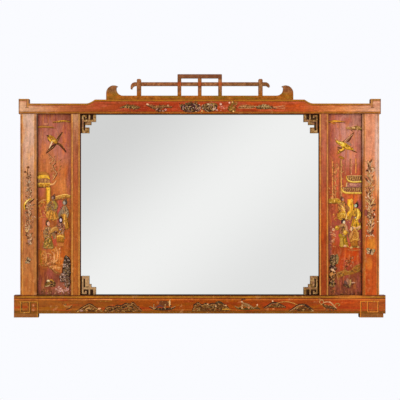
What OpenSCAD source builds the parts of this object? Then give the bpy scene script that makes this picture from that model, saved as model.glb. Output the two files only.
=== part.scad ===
// Overmantel wall mirror in red lacquer, with figure panels, corner frets and an openwork crest.
// X runs to the right, Z up, and the front faces -Y. The wall is the plane y = 0, and the origin
// lies on it behind the centre of the mirror plate. All sizes are in millimetres.

/* [Mirror opening] */
// Width of the mirror that shows between the inner stiles
sight_w = 886; // [760:2:1000]
// Height of the mirror that shows between the rails
sight_h = 672; // [600:2:780]

/* [Stiles and panels] */
// Width of each inner stile
inner_stile_w = 34; // [32:1:50]
// Width of each figure panel that shows
panel_w = 125; // [112:1:160]
// Width of each outer stile
outer_stile_w = 63; // [52:1:80]
// Thickness of the stiles, front to back
stile_t = 25; // [24:0.5:30]
// How far the panel's face lies behind the face of the stiles
panel_set_back = 11; // [9:0.5:12]
// Thickness of a panel
panel_t = 8; // [6:0.5:8]
// Depth of the grooves that hold a panel
groove_d = 7; // [5:0.5:8]
// Play of a panel at the bottom of its grooves, for the wood to move
panel_play = 0.8; // [0.4:0.1:0.9]

/* [Rails] */
// Thickness of both rails, front to back
rail_t = 28; // [26:0.5:34]
// Height of the top rail over the panels
top_rail_h = 38.5; // [36:0.5:48]
// Height of the top rail in its raised centre
top_rail_centre_h = 53; // [50:0.5:64]
// Width of the raised centre
raised_w = 776; // [720:2:820]
// Length of the curve at each end of the raised centre
sweep_w = 33; // [20:1:50]
// Width of the square ear at each end of the top rail
ear_w = 37; // [34:0.5:50]
// Height of the ears
ear_h = 55.5; // [50:0.5:66]
// How far the top rail passes the outer stiles
top_rail_over = 5.5; // [4:0.5:12]
// Height of the bottom rail
bottom_rail_h = 67.5; // [58:0.5:80]
// How far the bottom rail passes the outer stiles
bottom_rail_over = 23; // [15:0.5:35]
// Width of the left foot block
left_foot_w = 89; // [80:1:120]
// Width of the right foot block
right_foot_w = 88; // [80:0.5:110]
// How far the right foot block stops short of the rail's end
right_foot_set_in = 8; // [0:0.5:12]
// Height of the foot blocks
foot_h = 14.5; // [12:0.5:24]

/* [Frame joints] */
// Thickness of the tenons
tenon_t = 9; // [8:0.5:10]
// Length of the tenons in the top rail
top_tenon_l = 28; // [22:0.5:30]
// Length of the tenons in the bottom rail
bottom_tenon_l = 40; // [30:0.5:46]
// Shoulder at each edge of a tenon
tenon_shoulder = 8; // [7:0.5:10]
// Clearance round tenons, panels and lap joints
joint_gap = 0.15; // [0.1:0.05:0.3]
// Diameter of the pegs through the tenons
peg_d = 6; // [4:0.5:7]
// Length of the pegs, from the back of the frame
peg_l = 21; // [19:0.5:22]
// Clearance round pegs, dowels, pins and screws, on the radius
hole_gap = 0.05; // [0.03:0.01:0.1]

/* [Mirror plate and back] */
// Width of the rebate that holds the mirror plate
rebate_w = 9; // [7:0.5:11]
// Thickness of the stile in front of the mirror plate
lip_t = 12; // [9:0.5:12]
// Thickness of the mirror plate
glass_t = 5; // [4:0.5:6]
// Clearance at the mirror plate's edges
glass_play = 0.8; // [0.4:0.1:0.9]
// Clearance in front of and behind the mirror plate
glass_gap = 0.2; // [0.1:0.05:0.3]
// Length of the blocks behind the mirror plate's edge
glass_block_l = 60; // [40:1:80]
// Thickness of the back boards
board_t = 8; // [8:0.5:10]
// How far the back boards lap over the inner stiles, from the opening
board_side_lap = 28; // [24:0.5:30]
// How far the back boards lap over the rails, from the opening
board_end_lap = 24; // [22:0.5:30]
// Gap between two back boards
board_gap = 0.6; // [0.4:0.1:0.9]

/* [Screws] */
// Diameter of the back boards' screws
board_screw_d = 4; // [3:0.5:5]
// Length of the back boards' screws
board_screw_l = 20; // [16:1:24]
// Diameter of the foot blocks' screws
foot_screw_d = 4.5; // [3.5:0.5:5.5]
// Length of the foot blocks' screws
foot_screw_l = 38; // [30:1:50]
// How far a countersunk head lies below the wood
screw_sink = 0.4; // [0.2:0.1:0.8]
// Diameter of a countersunk head, in shank diameters
screw_head_ratio = 2; // [1.8:0.1:2.2]

/* [Corner frets] */
// Cell of the key pattern that the frets are laid out on
fret_cell = 3.8; // [3:0.1:4.4]
// Thickness of a fret's ground
fret_ground_t = 3; // [2:0.5:4]
// Height of a fret's bars above its ground
fret_bar_t = 4; // [2:0.5:4.5]
// Gap between a fret and the frame, and a fret and the mirror plate
fret_gap = 0.3; // [0.2:0.05:0.5]

/* [Crest] */
// Width of the crest's base
crest_w = 694; // [660:2:700]
// Height of the crest's base
crest_base_h = 15; // [12:0.5:20]
// Thickness of the crest's base
crest_base_t = 16; // [15:0.5:20]
// How far the crest's base lies behind the face of the rails
crest_set_back = 4; // [3:0.5:5]
// Thickness of the crest's posts and cap bar
crest_post_t = 14; // [12:0.5:15]
// Thickness of the crest's long rail
crest_rail_t = 12; // [10:0.5:12]
// Radius of the back of the wave at each end of the base
wave_r = 28.5; // [24:0.5:30]
// Distance along the base between the hollow of the wave and its back
wave_gap = 9; // [7:0.5:12]
// Height of the wave above the top rail
wave_h = 53; // [50:0.5:64]
// Radius of the hollow of the wave
wave_hollow_r = 25.5; // [22:0.5:28]
// Height of the long rail's underside above the base
crest_rail_up = 36.5; // [30:0.5:42]
// Height of the long rail
crest_rail_h = 13.5; // [10:0.5:16]
// How far the long rail passes the middle of the left end post, curl and all
left_curl_over = 31; // [30:0.5:40]
// How far it passes the middle of the right end post
right_curl_over = 34.5; // [30:0.5:40]
// Thickness of a curl at its tip
curl_w = 6; // [5:0.5:7]
// Radius of the hollow under a curl
curl_hollow_r = 14; // [13:0.5:15]
// How much larger the back of a curl is than the long rail's height
curl_swell = 3; // [2:0.5:3.5]
// Drop of the left curl below the long rail
left_curl_drop = 13; // [6:0.5:18]
// Drop of the right curl below the long rail
right_curl_drop = 6; // [6:0.5:18]
// Distance of each end post from the middle
end_post_x = 225.5; // [200:0.5:240]
// Width of the end posts
end_post_w = 16; // [12:0.5:20]
// Height of the end posts above the base
end_post_h = 62; // [58:0.5:70]
// Radius of the end posts' upper corners
end_post_r = 5; // [3:0.5:5.5]
// Distance of the box's outer posts from the middle
box_post_x = 75.5; // [60:0.5:100]
// Width of the box's posts
box_post_w = 14; // [10:0.5:18]
// Height of the box above the base
box_h = 79.5; // [74:0.5:92]
// Height of the cap bar
cap_h = 14.5; // [10:0.5:18]
// Radius of the cap bar's upper corners
cap_r = 2.5; // [1:0.5:5]
// Length of the posts' stub tenons
stub_l = 7; // [5:0.5:8]
// Thickness of the posts' stub tenons
stub_t = 6; // [5:0.5:7]
// Shoulder at each edge of a stub tenon
stub_shoulder = 2.5; // [2:0.5:3]
// Diameter of the dowels under the base
dowel_d = 8; // [6:0.5:9]
// Length of a dowel in the base
dowel_up = 10; // [8:0.5:11]
// Length of a dowel in the top rail
dowel_down = 24; // [16:1:26]
// Diameter of the pins through the crest's lap joints
pin_d = 2.4; // [2:0.1:3]

/* [Hangers] */
// Height of a ring's hinge above the middle of the mirror plate
hanger_z = 200; // [150:5:240]
// Diameter of a ring's wire
ring_wire_d = 3.2; // [2.8:0.1:3.4]
// Width of a ring, from wire centre to wire centre
ring_w = 24; // [22:0.5:28]
// Length of a ring's straight legs
ring_leg = 5; // [3:0.5:7]
// Radius of a ring's upper corners, at the wire's centre
ring_corner_r = 3.2; // [2.5:0.1:4]
// Thickness of a strap
strap_t = 1.2; // [1:0.1:1.4]
// Width of a strap
strap_w = 15; // [13:0.5:16]
// Length of a strap below the hinge
strap_l = 48; // [44:0.5:60]
// Width of the knuckle that holds the ring
knuckle_w = 13; // [11:0.5:14]
// Clearance round the wire in its knuckle, on the radius
knuckle_gap = 0.1; // [0.05:0.01:0.1]
// Clearance between a knuckle and the frame
knuckle_lift = 0.7; // [0.4:0.1:0.9]
// Diameter of the straps' screws
strap_screw_d = 3.5; // [3:0.5:4]
// Length of the straps' screws in the wood
strap_screw_l = 15; // [10:1:20]
// Height of the straps' screw heads
strap_head_t = 1.8; // [1.2:0.2:2.4]
// Diameter of those heads, in shank diameters
strap_head_ratio = 1.9; // [1.7:0.1:2]

/* [Relief] */
// Height of the figures and plants above the panels
panel_relief_t = 5; // [3:0.5:8]
// Height of the branches above the outer stiles
stile_relief_t = 3; // [2:0.5:5]
// Height of the ornament above the rails
rail_relief_t = 3; // [2:0.5:5]

/* [Hidden] */
$fn = 48;

// Places across the frame, on its right half
sight_x = sight_w / 2;
panel_x0 = sight_x + inner_stile_w;
panel_x1 = panel_x0 + panel_w;
stile_x1 = panel_x1 + outer_stile_w;
top_rail_x = stile_x1 + top_rail_over;
bottom_rail_x = stile_x1 + bottom_rail_over;
outer_stile_mid = (panel_x1 + stile_x1) / 2;

// Heights
sight_z = sight_h / 2;
low_top = sight_z + top_rail_h;
raised_top = sight_z + top_rail_centre_h;
ear_top = sight_z + ear_h;
bottom_rail_z = -sight_z - bottom_rail_h;
foot_z = bottom_rail_z - foot_h;

// Depths, from the wall at y = 0 to the front
frame_back = -board_t;
stile_front = frame_back - stile_t;
rail_front = frame_back - rail_t;
panel_front = stile_front + panel_set_back;
panel_back = panel_front + panel_t;
rebate_floor = stile_front + lip_t;
glass_front = rebate_floor + glass_gap;
glass_back = glass_front + glass_t;
tenon_mid = frame_back - stile_t / 2;

// Wall of wood between a tenon and the rebate beside it
rebate_wall = 2;
outer_tenon_x = [panel_x1 + tenon_shoulder, stile_x1 - tenon_shoulder];
inner_tenon_x = [sight_x + rebate_w + rebate_wall, panel_x0 - tenon_shoulder];

// Blocks along each edge of the mirror plate, as shares of the opening
glass_block_columns = [-0.5, 0, 0.5];
glass_block_rows = [-0.5, 0.5];

// Back boards and their screws, the latter as shares of the opening and of a board
board_x = sight_x + board_side_lap;
board_z = sight_z + board_end_lap;
board_count = 3;
board_h = (2 * board_z - (board_count - 1) * board_gap) / board_count;
board_screw_x = sight_x + (rebate_w + board_side_lap) / 2;
board_screw_z = sight_z + (rebate_w + board_end_lap) / 2;
board_screw_columns = [-0.75, -0.25, 0.25, 0.75];
board_screw_rows = [-1 / 3, 1 / 3];
function board_mid(i) = -board_z + board_h / 2 + i * (board_h + board_gap);
board_screws = concat(
    [for (i = [0:board_count - 1], side = [-1, 1], row = board_screw_rows)
        [side * board_screw_x, board_mid(i) + row * board_h]],
    [for (column = board_screw_columns, up = [-1, 1]) [column * sight_x, up * board_screw_z]]
);

// Foot blocks, each from its inner to its outer end, and their screws
left_foot_span = [-bottom_rail_x, -bottom_rail_x + left_foot_w];
right_foot_end = bottom_rail_x - right_foot_set_in;
right_foot_span = [right_foot_end - right_foot_w, right_foot_end];
foot_mid_y = frame_back - rail_t / 2;
foot_screw_places = [0.25, 0.75];
function foot_screw_xs(span) = [for (part = foot_screw_places) span[0] + part * (span[1] - span[0])];

// Crest
crest_mid = rail_front + crest_set_back + crest_base_t / 2;
crest_base_top = raised_top + crest_base_h;
crest_rail_z0 = crest_base_top + crest_rail_up;
crest_rail_z1 = crest_rail_z0 + crest_rail_h;
post_front = crest_mid - crest_post_t / 2;
post_back = crest_mid + crest_post_t / 2;
crest_rail_front = crest_mid - crest_rail_t / 2;
crest_rail_back = crest_mid + crest_rail_t / 2;
box_top = crest_base_top + box_h;
cap_z = box_top - cap_h;
cap_x = box_post_x + box_post_w / 2;
end_post_top = crest_base_top + end_post_h;
box_posts = [-box_post_x, 0, box_post_x];
end_posts = [-end_post_x, end_post_x];

// Dowels under the base, as shares of its half width
dowel_places = [-0.9, -0.45, -0.1, 0.1, 0.45, 0.9];
dowel_xs = [for (part = dowel_places) part * crest_w / 2];
pin_y = [crest_mid - crest_post_t / 4, crest_rail_back];

// Hangers
knuckle_wall = strap_t;
ring_r = ring_wire_d / 2;
knuckle_bore_r = ring_r + knuckle_gap;
knuckle_r = knuckle_bore_r + knuckle_wall;
hinge_y = frame_back + knuckle_r + knuckle_lift;
strap_screw_places = [0.62, 0.86];
strap_screws = [for (part = strap_screw_places) -part * strap_l];
strap_head_r = strap_screw_d * strap_head_ratio / 2;

// How far a cut runs past the wood it goes through
cut_over = 1;

// Solid between two corners
module slab(x, y, z) {
    translate([x[0], y[0], z[0]])
        cube([x[1] - x[0], y[1] - y[0], z[1] - z[0]]);
}

// Board with an outline in X and Z, between two depths
module board(outline, y) {
    translate([0, y[1], 0])
        rotate([90, 0, 0])
            linear_extrude(y[1] - y[0])
                polygon(outline);
}

// Round bar along Y
module bar(x, z, y, r) {
    translate([x, y[1], z])
        rotate([90, 0, 0])
            cylinder(h = y[1] - y[0], r = r);
}

module on_side(side) {
    mirror([side < 0 ? 1 : 0, 0, 0])
        children();
}

function arc(centre, r, from, to, steps = 8) = [
    for (i = [0:steps])
        let (a = from + (to - from) * i / steps)
        [centre[0] + r * cos(a), centre[1] + r * sin(a)]
];

function flipped(points) = [for (i = [len(points) - 1:-1:0]) [-points[i][0], points[i][1]]];

// Frame

function sweep_curve(steps = 8) = [
    for (i = [steps:-1:0])
        let (t = i / steps)
        [raised_w / 2 + sweep_w * (1 - t), low_top + (raised_top - low_top) * (1 - cos(90 * t))]
];

function top_rail_right() = concat(
    sweep_curve(),
    [
        [top_rail_x - ear_w, low_top],
        [top_rail_x - ear_w, ear_top],
        [top_rail_x, ear_top],
        [top_rail_x, sight_z]
    ]
);

// Tenon, or with some growth its mortise
module tenon(x, z, grow = 0) {
    slab(
        [x[0] - grow, x[1] + grow],
        [tenon_mid - tenon_t / 2 - grow, tenon_mid + tenon_t / 2 + grow],
        [z[0] - grow, z[1] + grow]
    );
}

module peg_at(x, z, grow = 0) {
    bar(x, z, [frame_back - peg_l - grow, frame_back], peg_d / 2 + grow);
}

module pegs(grow = 0) {
    for (side = [-1, 1], span = [outer_tenon_x, inner_tenon_x])
        let (x = side * (span[0] + span[1]) / 2) {
            peg_at(x, sight_z + top_tenon_l / 2, grow);
            peg_at(x, -sight_z - bottom_tenon_l / 2, grow);
        }
}

// Groove for a panel in a rail or between two stiles
module panel_groove(side) {
    on_side(side)
        slab(
            [panel_x0 - groove_d, panel_x1 + groove_d],
            [panel_front - joint_gap, panel_back + joint_gap],
            [-sight_z - groove_d, sight_z + groove_d]
        );
}

module glass_rebate() {
    slab(
        [-sight_x - rebate_w, sight_x + rebate_w],
        [rebate_floor, frame_back],
        [-sight_z - rebate_w, sight_z + rebate_w]
    );
}

module board_screw_holes() {
    for (place = board_screws)
        bar(
            place[0], place[1],
            [-board_screw_l - hole_gap, frame_back],
            board_screw_d / 2 + hole_gap
        );
}

module dowels(grow = 0) {
    for (x = dowel_xs)
        translate([x, crest_mid, raised_top - dowel_down - grow])
            cylinder(h = dowel_down + dowel_up + 2 * grow, d = dowel_d + 2 * grow);
}

module top_rail() {
    color("indianred")
        difference() {
            board(concat(flipped(top_rail_right()), top_rail_right()), [rail_front, frame_back]);
            for (side = [-1, 1]) {
                panel_groove(side);
                on_side(side)
                    for (span = [outer_tenon_x, inner_tenon_x])
                        tenon(span, [sight_z, sight_z + top_tenon_l], joint_gap);
            }
            glass_rebate();
            pegs(hole_gap);
            dowels(hole_gap);
            board_screw_holes();
        }
}

module bottom_rail() {
    color("indianred")
        difference() {
            slab([-bottom_rail_x, bottom_rail_x], [rail_front, frame_back], [bottom_rail_z, -sight_z]);
            for (side = [-1, 1]) {
                panel_groove(side);
                on_side(side)
                    for (span = [outer_tenon_x, inner_tenon_x])
                        tenon(span, [-sight_z - bottom_tenon_l, -sight_z], joint_gap);
            }
            glass_rebate();
            pegs(hole_gap);
            board_screw_holes();
            foot_screw_set(hole_gap);
        }
}

module foot_block(span) {
    color("indianred")
        difference() {
            slab(span, [rail_front, frame_back], [foot_z, bottom_rail_z]);
            foot_screw_set(hole_gap);
        }
}

// Countersunk screw that points up Z, with its head's face at z = 0
module countersunk_screw(d, l, grow = 0) {
    head_d = d * screw_head_ratio;
    head_h = (head_d - d) / 2;
    translate([0, 0, -grow])
        cylinder(h = l + 2 * grow, d = d + 2 * grow);
    cylinder(h = head_h, d1 = head_d + 2 * grow, d2 = d + 2 * grow);
}

module foot_screw_set(grow = 0) {
    for (span = [left_foot_span, right_foot_span], x = foot_screw_xs(span)) {
        translate([x, foot_mid_y, foot_z + screw_sink])
            countersunk_screw(foot_screw_d, foot_screw_l, grow);
        if (grow > 0)
            translate([x, foot_mid_y, foot_z])
                cylinder(h = screw_sink, d = foot_screw_d * screw_head_ratio + 2 * grow);
    }
}

module outer_stile(side) {
    color("lightsalmon")
        difference() {
            on_side(side) {
                slab([panel_x1, stile_x1], [stile_front, frame_back], [-sight_z, sight_z]);
                tenon(outer_tenon_x, [-sight_z - bottom_tenon_l, sight_z + top_tenon_l]);
            }
            panel_groove(side);
            pegs(hole_gap);
            strap_screw_set(hole_gap);
        }
}

module inner_stile(side) {
    color("lightsalmon")
        difference() {
            on_side(side) {
                slab([sight_x, panel_x0], [stile_front, frame_back], [-sight_z, sight_z]);
                tenon(inner_tenon_x, [-sight_z - bottom_tenon_l, sight_z + top_tenon_l]);
            }
            panel_groove(side);
            glass_rebate();
            pegs(hole_gap);
            board_screw_holes();
        }
}

module panel(side) {
    hold = groove_d - panel_play;
    color("brown")
        on_side(side)
            slab(
                [panel_x0 - hold, panel_x1 + hold],
                [panel_front, panel_back],
                [-sight_z - hold, sight_z + hold]
            );
}

module tenon_pegs() {
    color("burlywood")
        pegs();
}

// Mirror plate and back

module mirror_glass() {
    hold = rebate_w - glass_play;
    color("gainsboro")
        slab([-sight_x - hold, sight_x + hold], [glass_front, glass_back], [-sight_z - hold, sight_z + hold]);
}

module glass_blocks() {
    y = [glass_back + glass_gap, frame_back - glass_gap];
    in = glass_gap;
    out = rebate_w - glass_gap;
    half = glass_block_l / 2;
    color("burlywood") {
        for (column = glass_block_columns, up = [0, 1])
            mirror([0, 0, up])
                slab(
                    [column * sight_w / 2 - half, column * sight_w / 2 + half],
                    y,
                    [sight_z + in, sight_z + out]
                );
        for (row = glass_block_rows, side = [-1, 1])
            on_side(side)
                slab([sight_x + in, sight_x + out], y, [row * sight_h / 2 - half, row * sight_h / 2 + half]);
    }
}

module board_screw_set(grow = 0) {
    for (place = board_screws)
        translate([place[0], -screw_sink, place[1]])
            rotate([90, 0, 0]) {
                countersunk_screw(board_screw_d, board_screw_l - screw_sink, grow);
                if (grow > 0)
                    translate([0, 0, -screw_sink])
                        cylinder(h = screw_sink, d = board_screw_d * screw_head_ratio + 2 * grow);
            }
}

module back_board(i) {
    color("burlywood")
        difference() {
            slab(
                [-board_x, board_x],
                [frame_back, 0],
                [board_mid(i) - board_h / 2, board_mid(i) + board_h / 2]
            );
            board_screw_set(hole_gap);
        }
}

module back_board_screws() {
    color("darkgoldenrod")
        board_screw_set();
}

module foot_screws() {
    color("dimgray")
        foot_screw_set();
}

// Corner frets, laid out in cells from the corner of the mirror opening

// Widths and lower ends of the ground's steps
fret_steps = [[15, 7.5], [10.5, 10.5], [8.5, 18.5]];
// Notch in the ground of the upper pair: its inner end, and its upper and lower edge
fret_notch = [4.5, 10.5, 13];
// Bars as left, upper, right and lower edge
fret_bars = [
    [1.5, 1, 3, 18.5],
    [1.5, 1, 6, 2.5],
    [4.5, 1, 6, 4],
    [8, 0.5, 9.5, 7.5],
    [12.5, 0.5, 15, 7.5],
    [1.5, 5.5, 15, 7.5],
    [4.5, 8.2, 10.5, 10.5],
    [8, 5.5, 10.5, 10.5],
    [1.5, 16, 8.5, 18.5]
];
// Foot of the key, whose upper edge lies higher in the lower pair
fret_foot = [4.5, 13, 8.5, 18.5];
lower_fret_foot = [4.5, 10.5, 8.5, 18.5];

module fret_rect(r, y) {
    slab([r[0] * fret_cell, r[2] * fret_cell], y, [-r[3] * fret_cell, -r[1] * fret_cell]);
}

module corner_fret(side, up) {
    back = glass_front - fret_gap;
    face = back - fret_ground_t;
    notch_w = fret_steps[2][0];
    color("darkkhaki")
        on_side(side)
            mirror([0, 0, up > 0 ? 0 : 1])
                translate([-sight_x + fret_gap, 0, sight_z - fret_gap]) {
                    difference() {
                        for (i = [0:len(fret_steps) - 1])
                            fret_rect(
                                [0, i == 0 ? 0 : fret_steps[i - 1][1], fret_steps[i][0], fret_steps[i][1]],
                                [face, back]
                            );
                        if (up > 0)
                            fret_rect(
                                [fret_notch[0], fret_notch[1], notch_w + cut_over, fret_notch[2]],
                                [face - cut_over, back + cut_over]
                            );
                    }
                    for (r = concat(fret_bars, [up > 0 ? fret_foot : lower_fret_foot]))
                        fret_rect(r, [face - fret_bar_t, face]);
                }
}

// Crest

// Angles at which the hollow and the back of the wave end at its tip
wave_hollow_end = 375;
wave_back_start = 122;

// Right end of the base, from the foot of the hollow over the tip and down to the top rail
function wave_end() =
    let (x = crest_w / 2, z = raised_top, hollow_x = x - wave_hollow_r - wave_r - wave_gap)
    concat(
        arc([hollow_x, crest_base_top + wave_hollow_r], wave_hollow_r, 270, wave_hollow_end, 10),
        arc([x - wave_r, z + wave_h - wave_r], wave_r, wave_back_start, 0, 12),
        [[x, z]]
    );

module post_stub(x, z, grow = 0) {
    w = (x[1] - x[0]) / 2 - stub_shoulder;
    mid = (x[0] + x[1]) / 2;
    slab(
        [mid - w - grow, mid + w + grow],
        [crest_mid - stub_t / 2 - grow, crest_mid + stub_t / 2 + grow],
        [z[0] - grow, z[1] + grow]
    );
}

function post_span(x, w) = [x - w / 2, x + w / 2];

module foot_stubs(grow = 0) {
    z = [crest_base_top - stub_l, crest_base_top];
    for (x = end_posts)
        post_stub(post_span(x, end_post_w), z, grow);
    for (x = box_posts)
        post_stub(post_span(x, box_post_w), z, grow);
}

module crest_base() {
    color("peru")
        difference() {
            board(
                concat(wave_end(), flipped(wave_end())),
                [crest_mid - crest_base_t / 2, crest_mid + crest_base_t / 2]
            );
            foot_stubs(joint_gap);
            dowels(hole_gap);
        }
}

// Width and rise of a curl's tip, and how far above the tip its hollow ends
curl_tip = [4, 2];
curl_hollow_rise = 1;

// Right end of the long rail: how far it passes the end post, and its drop below the rail
function curl_end(over, drop) =
    let (
        r = crest_rail_h + curl_swell,
        x = end_post_x + over,
        a = asin(1 - (drop - curl_hollow_rise) / curl_hollow_r),
        hollow_x = x - curl_w - curl_hollow_r * cos(a)
    )
    concat(
        arc([hollow_x, crest_rail_z0 - curl_hollow_r], curl_hollow_r, 90, a, 6),
        [
            [x - curl_tip[0], crest_rail_z0 - drop],
            [x, crest_rail_z0 - drop + curl_tip[1]]
        ],
        arc([x - r, crest_rail_z1 - r], r, 0, 90, 8)
    );

module lap_pins(grow = 0) {
    for (x = concat(end_posts, box_posts))
        bar(x, (crest_rail_z0 + crest_rail_z1) / 2, [pin_y[0] - grow, pin_y[1]], pin_d / 2 + grow);
}

// The front half of the long rail is cut away where a post crosses it
module rail_lap(x, w) {
    slab(
        [x - w / 2 - joint_gap, x + w / 2 + joint_gap],
        [post_front, crest_mid + joint_gap / 2],
        [crest_rail_z0 - cut_over, crest_rail_z1 + cut_over]
    );
}

// The rear half of a post is cut away where the long rail crosses it
module post_lap(x, w) {
    slab(
        [x - w / 2 - cut_over, x + w / 2 + cut_over],
        [crest_mid - joint_gap / 2, post_back + cut_over],
        [crest_rail_z0 - joint_gap, crest_rail_z1 + joint_gap]
    );
}

module crest_rail() {
    color("peru")
        difference() {
            board(
                concat(
                    curl_end(right_curl_over, right_curl_drop),
                    flipped(curl_end(left_curl_over, left_curl_drop))
                ),
                [crest_rail_front, crest_rail_back]
            );
            for (x = end_posts)
                rail_lap(x, end_post_w);
            for (x = box_posts)
                rail_lap(x, box_post_w);
            lap_pins(hole_gap);
        }
}

module end_post(x) {
    span = post_span(x, end_post_w);
    z = end_post_top - end_post_r;
    color("peru")
        difference() {
            union() {
                board(
                    concat(
                        [[span[0], crest_base_top], [span[1], crest_base_top]],
                        arc([span[1] - end_post_r, z], end_post_r, 0, 90, 5),
                        arc([span[0] + end_post_r, z], end_post_r, 90, 180, 5)
                    ),
                    [post_front, post_back]
                );
                post_stub(span, [crest_base_top - stub_l, z]);
            }
            post_lap(x, end_post_w);
            lap_pins(hole_gap);
        }
}

module box_post(x) {
    span = post_span(x, box_post_w);
    color("peru")
        difference() {
            union() {
                slab(span, [post_front, post_back], [crest_base_top, cap_z]);
                post_stub(span, [crest_base_top - stub_l, cap_z + stub_l]);
            }
            post_lap(x, box_post_w);
            lap_pins(hole_gap);
        }
}

module crest_cap_bar() {
    right = concat([[cap_x, cap_z]], arc([cap_x - cap_r, box_top - cap_r], cap_r, 0, 90, 4));
    color("peru")
        difference() {
            board(concat(right, flipped(right)), [post_front, post_back]);
            for (x = box_posts)
                post_stub(post_span(x, box_post_w), [cap_z, cap_z + stub_l], joint_gap);
        }
}

module crest_dowels() {
    color("burlywood")
        dowels();
}

module crest_pins() {
    color("goldenrod")
        lap_pins();
}

// Hangers

module at_hinge(side) {
    translate([side * outer_stile_mid, hinge_y, hanger_z])
        children();
}

module hanger_strap(side) {
    back = frame_back - hinge_y;
    half = strap_w / 2;
    color("goldenrod")
        difference() {
            at_hinge(side)
                difference() {
                    union() {
                        board(
                            concat([[half, 0], [-half, 0]], arc([0, half - strap_l], half, 180, 360, 16)),
                            [back, back + strap_t]
                        );
                        translate([-knuckle_w / 2, 0, 0])
                            rotate([0, 90, 0])
                                cylinder(h = knuckle_w, r = knuckle_r);
                    }
                    translate([-knuckle_w, 0, 0])
                        rotate([0, 90, 0])
                            cylinder(h = 2 * knuckle_w, r = knuckle_bore_r);
                }
            strap_screw_set(hole_gap);
        }
}

module wire(l) {
    cylinder(h = l, r = ring_r);
}

// Quarter bend of the wire, from below the hinge round into the straight bar
module ring_corner() {
    rotate([90, 0, 0])
        rotate_extrude(angle = 90)
            translate([ring_corner_r, 0])
                circle(r = ring_r);
}

module hanging_ring(side) {
    half = ring_w / 2;
    top = half - ring_corner_r;
    legs = -ring_corner_r - ring_leg;
    color("gold")
        at_hinge(side) {
            translate([-top, 0, 0])
                rotate([0, 90, 0])
                    wire(2 * top);
            for (turn = [0, 1])
                mirror([turn, 0, 0]) {
                    translate([top, 0, -ring_corner_r])
                        ring_corner();
                    translate([half, 0, legs])
                        wire(ring_leg);
                }
            translate([0, 0, legs])
                rotate([90, 0, 0])
                    rotate_extrude(angle = -180)
                        translate([half, 0])
                            circle(r = ring_r);
        }
}

// Round-headed screws of both straps
module strap_screw_set(grow = 0) {
    face = frame_back + strap_t;
    for (side = [-1, 1], dz = strap_screws) {
        bar(
            side * outer_stile_mid, hanger_z + dz,
            [frame_back - strap_screw_l - grow, face],
            strap_screw_d / 2 + grow
        );
        if (grow == 0)
            bar(side * outer_stile_mid, hanger_z + dz, [face, face + strap_head_t], strap_head_r);
    }
}

module hanger_screws() {
    color("goldenrod")
        strap_screw_set();
}

// Relief, as plain raised outlines on the lacquer. Places are counted from a panel's lower left
// corner, from a stile's lower end at its middle, and from the middle of a rail, all drawn on
// parts of the sizes below and stretched with them.
drawn_panel = [123, 672];
drawn_stile = [63, 672];
drawn_top_rail = [886, 53];
drawn_bottom_rail = [886, 66.5];

module stretched(size, drawn) {
    scale([size[0] / drawn[0], 1, size[1] / drawn[1]])
        children();
}

module raised(place, face, t) {
    translate([place[0], face, place[1]])
        rotate([90, 0, 0])
            linear_extrude(t)
                children();
}

// Flying bird with a forked spread of wings, wide by a span
module bird(span, turn = 0) {
    s = span / 2;
    rotate(turn)
        polygon([
            [-s * 0.62, s * 0.1], [-s * 0.35, s * 0.3], [0, s * 0.22], [s * 0.55, s * 0.95],
            [s * 0.75, s * 0.92], [s * 0.36, s * 0.02], [s, -s * 0.62], [s * 0.86, -s * 0.72],
            [s * 0.2, -s * 0.28], [-s * 0.5, -s * 0.85], [-s * 0.62, -s * 0.78], [-s * 0.2, -s * 0.12]
        ]);
}

// Roof with a hollow slope and an upturned eave at its right end
module roof(w, h) {
    polygon(concat(
        [[0, 0], [0, h]],
        [for (i = [1:6]) let (t = i / 6) [w * (0.5 + 0.5 * t), h * (1 - 0.85 * sin(90 * t))]],
        [[w * 1.12, h * 0.55], [w * 1.08, h * 0.1], [w * 0.95, 0]]
    ));
}

// Robed figure that stands on its hem
module figure(w, h) {
    r = h * 0.1;
    polygon(concat(
        [[-w * 0.5, 0], [w * 0.5, 0], [w * 0.36, h * 0.34], [w * 0.5, h * 0.5], [w * 0.3, h * 0.72]],
        arc([0, h - r], r, -40, 220, 10),
        [[-w * 0.3, h * 0.72], [-w * 0.5, h * 0.5], [-w * 0.36, h * 0.34]]
    ));
}

// Bush or rock with a lobed edge
module bush(w, h, lobes = 7) {
    polygon([
        for (a = [0:10:350])
            let (r = 1 - 0.16 * abs(sin(a * lobes / 2)))
            [w / 2 * r * cos(a), h / 2 * r * sin(a)]
    ]);
}

// Leaf or streak, pointed at both ends
module leaf(l, w, turn = 0) {
    rotate(turn)
        polygon([
            for (i = [0:15])
                let (a = i * 360 / 16)
                [l / 2 * cos(a), w / 2 * sin(a) * abs(sin(a))]
        ]);
}

// Band of one width along a few points
module band(points, w) {
    last = len(points) - 1;
    function way(i) =
        let (d = points[min(i + 1, last)] - points[max(i - 1, 0)])
        d / norm(d);
    function edge(i, s) = points[i] + s * w / 2 * [-way(i)[1], way(i)[0]];
    polygon(concat(
        [for (i = [0:last]) edge(i, 1)],
        [for (i = [last:-1:0]) edge(i, -1)]
    ));
}

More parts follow.
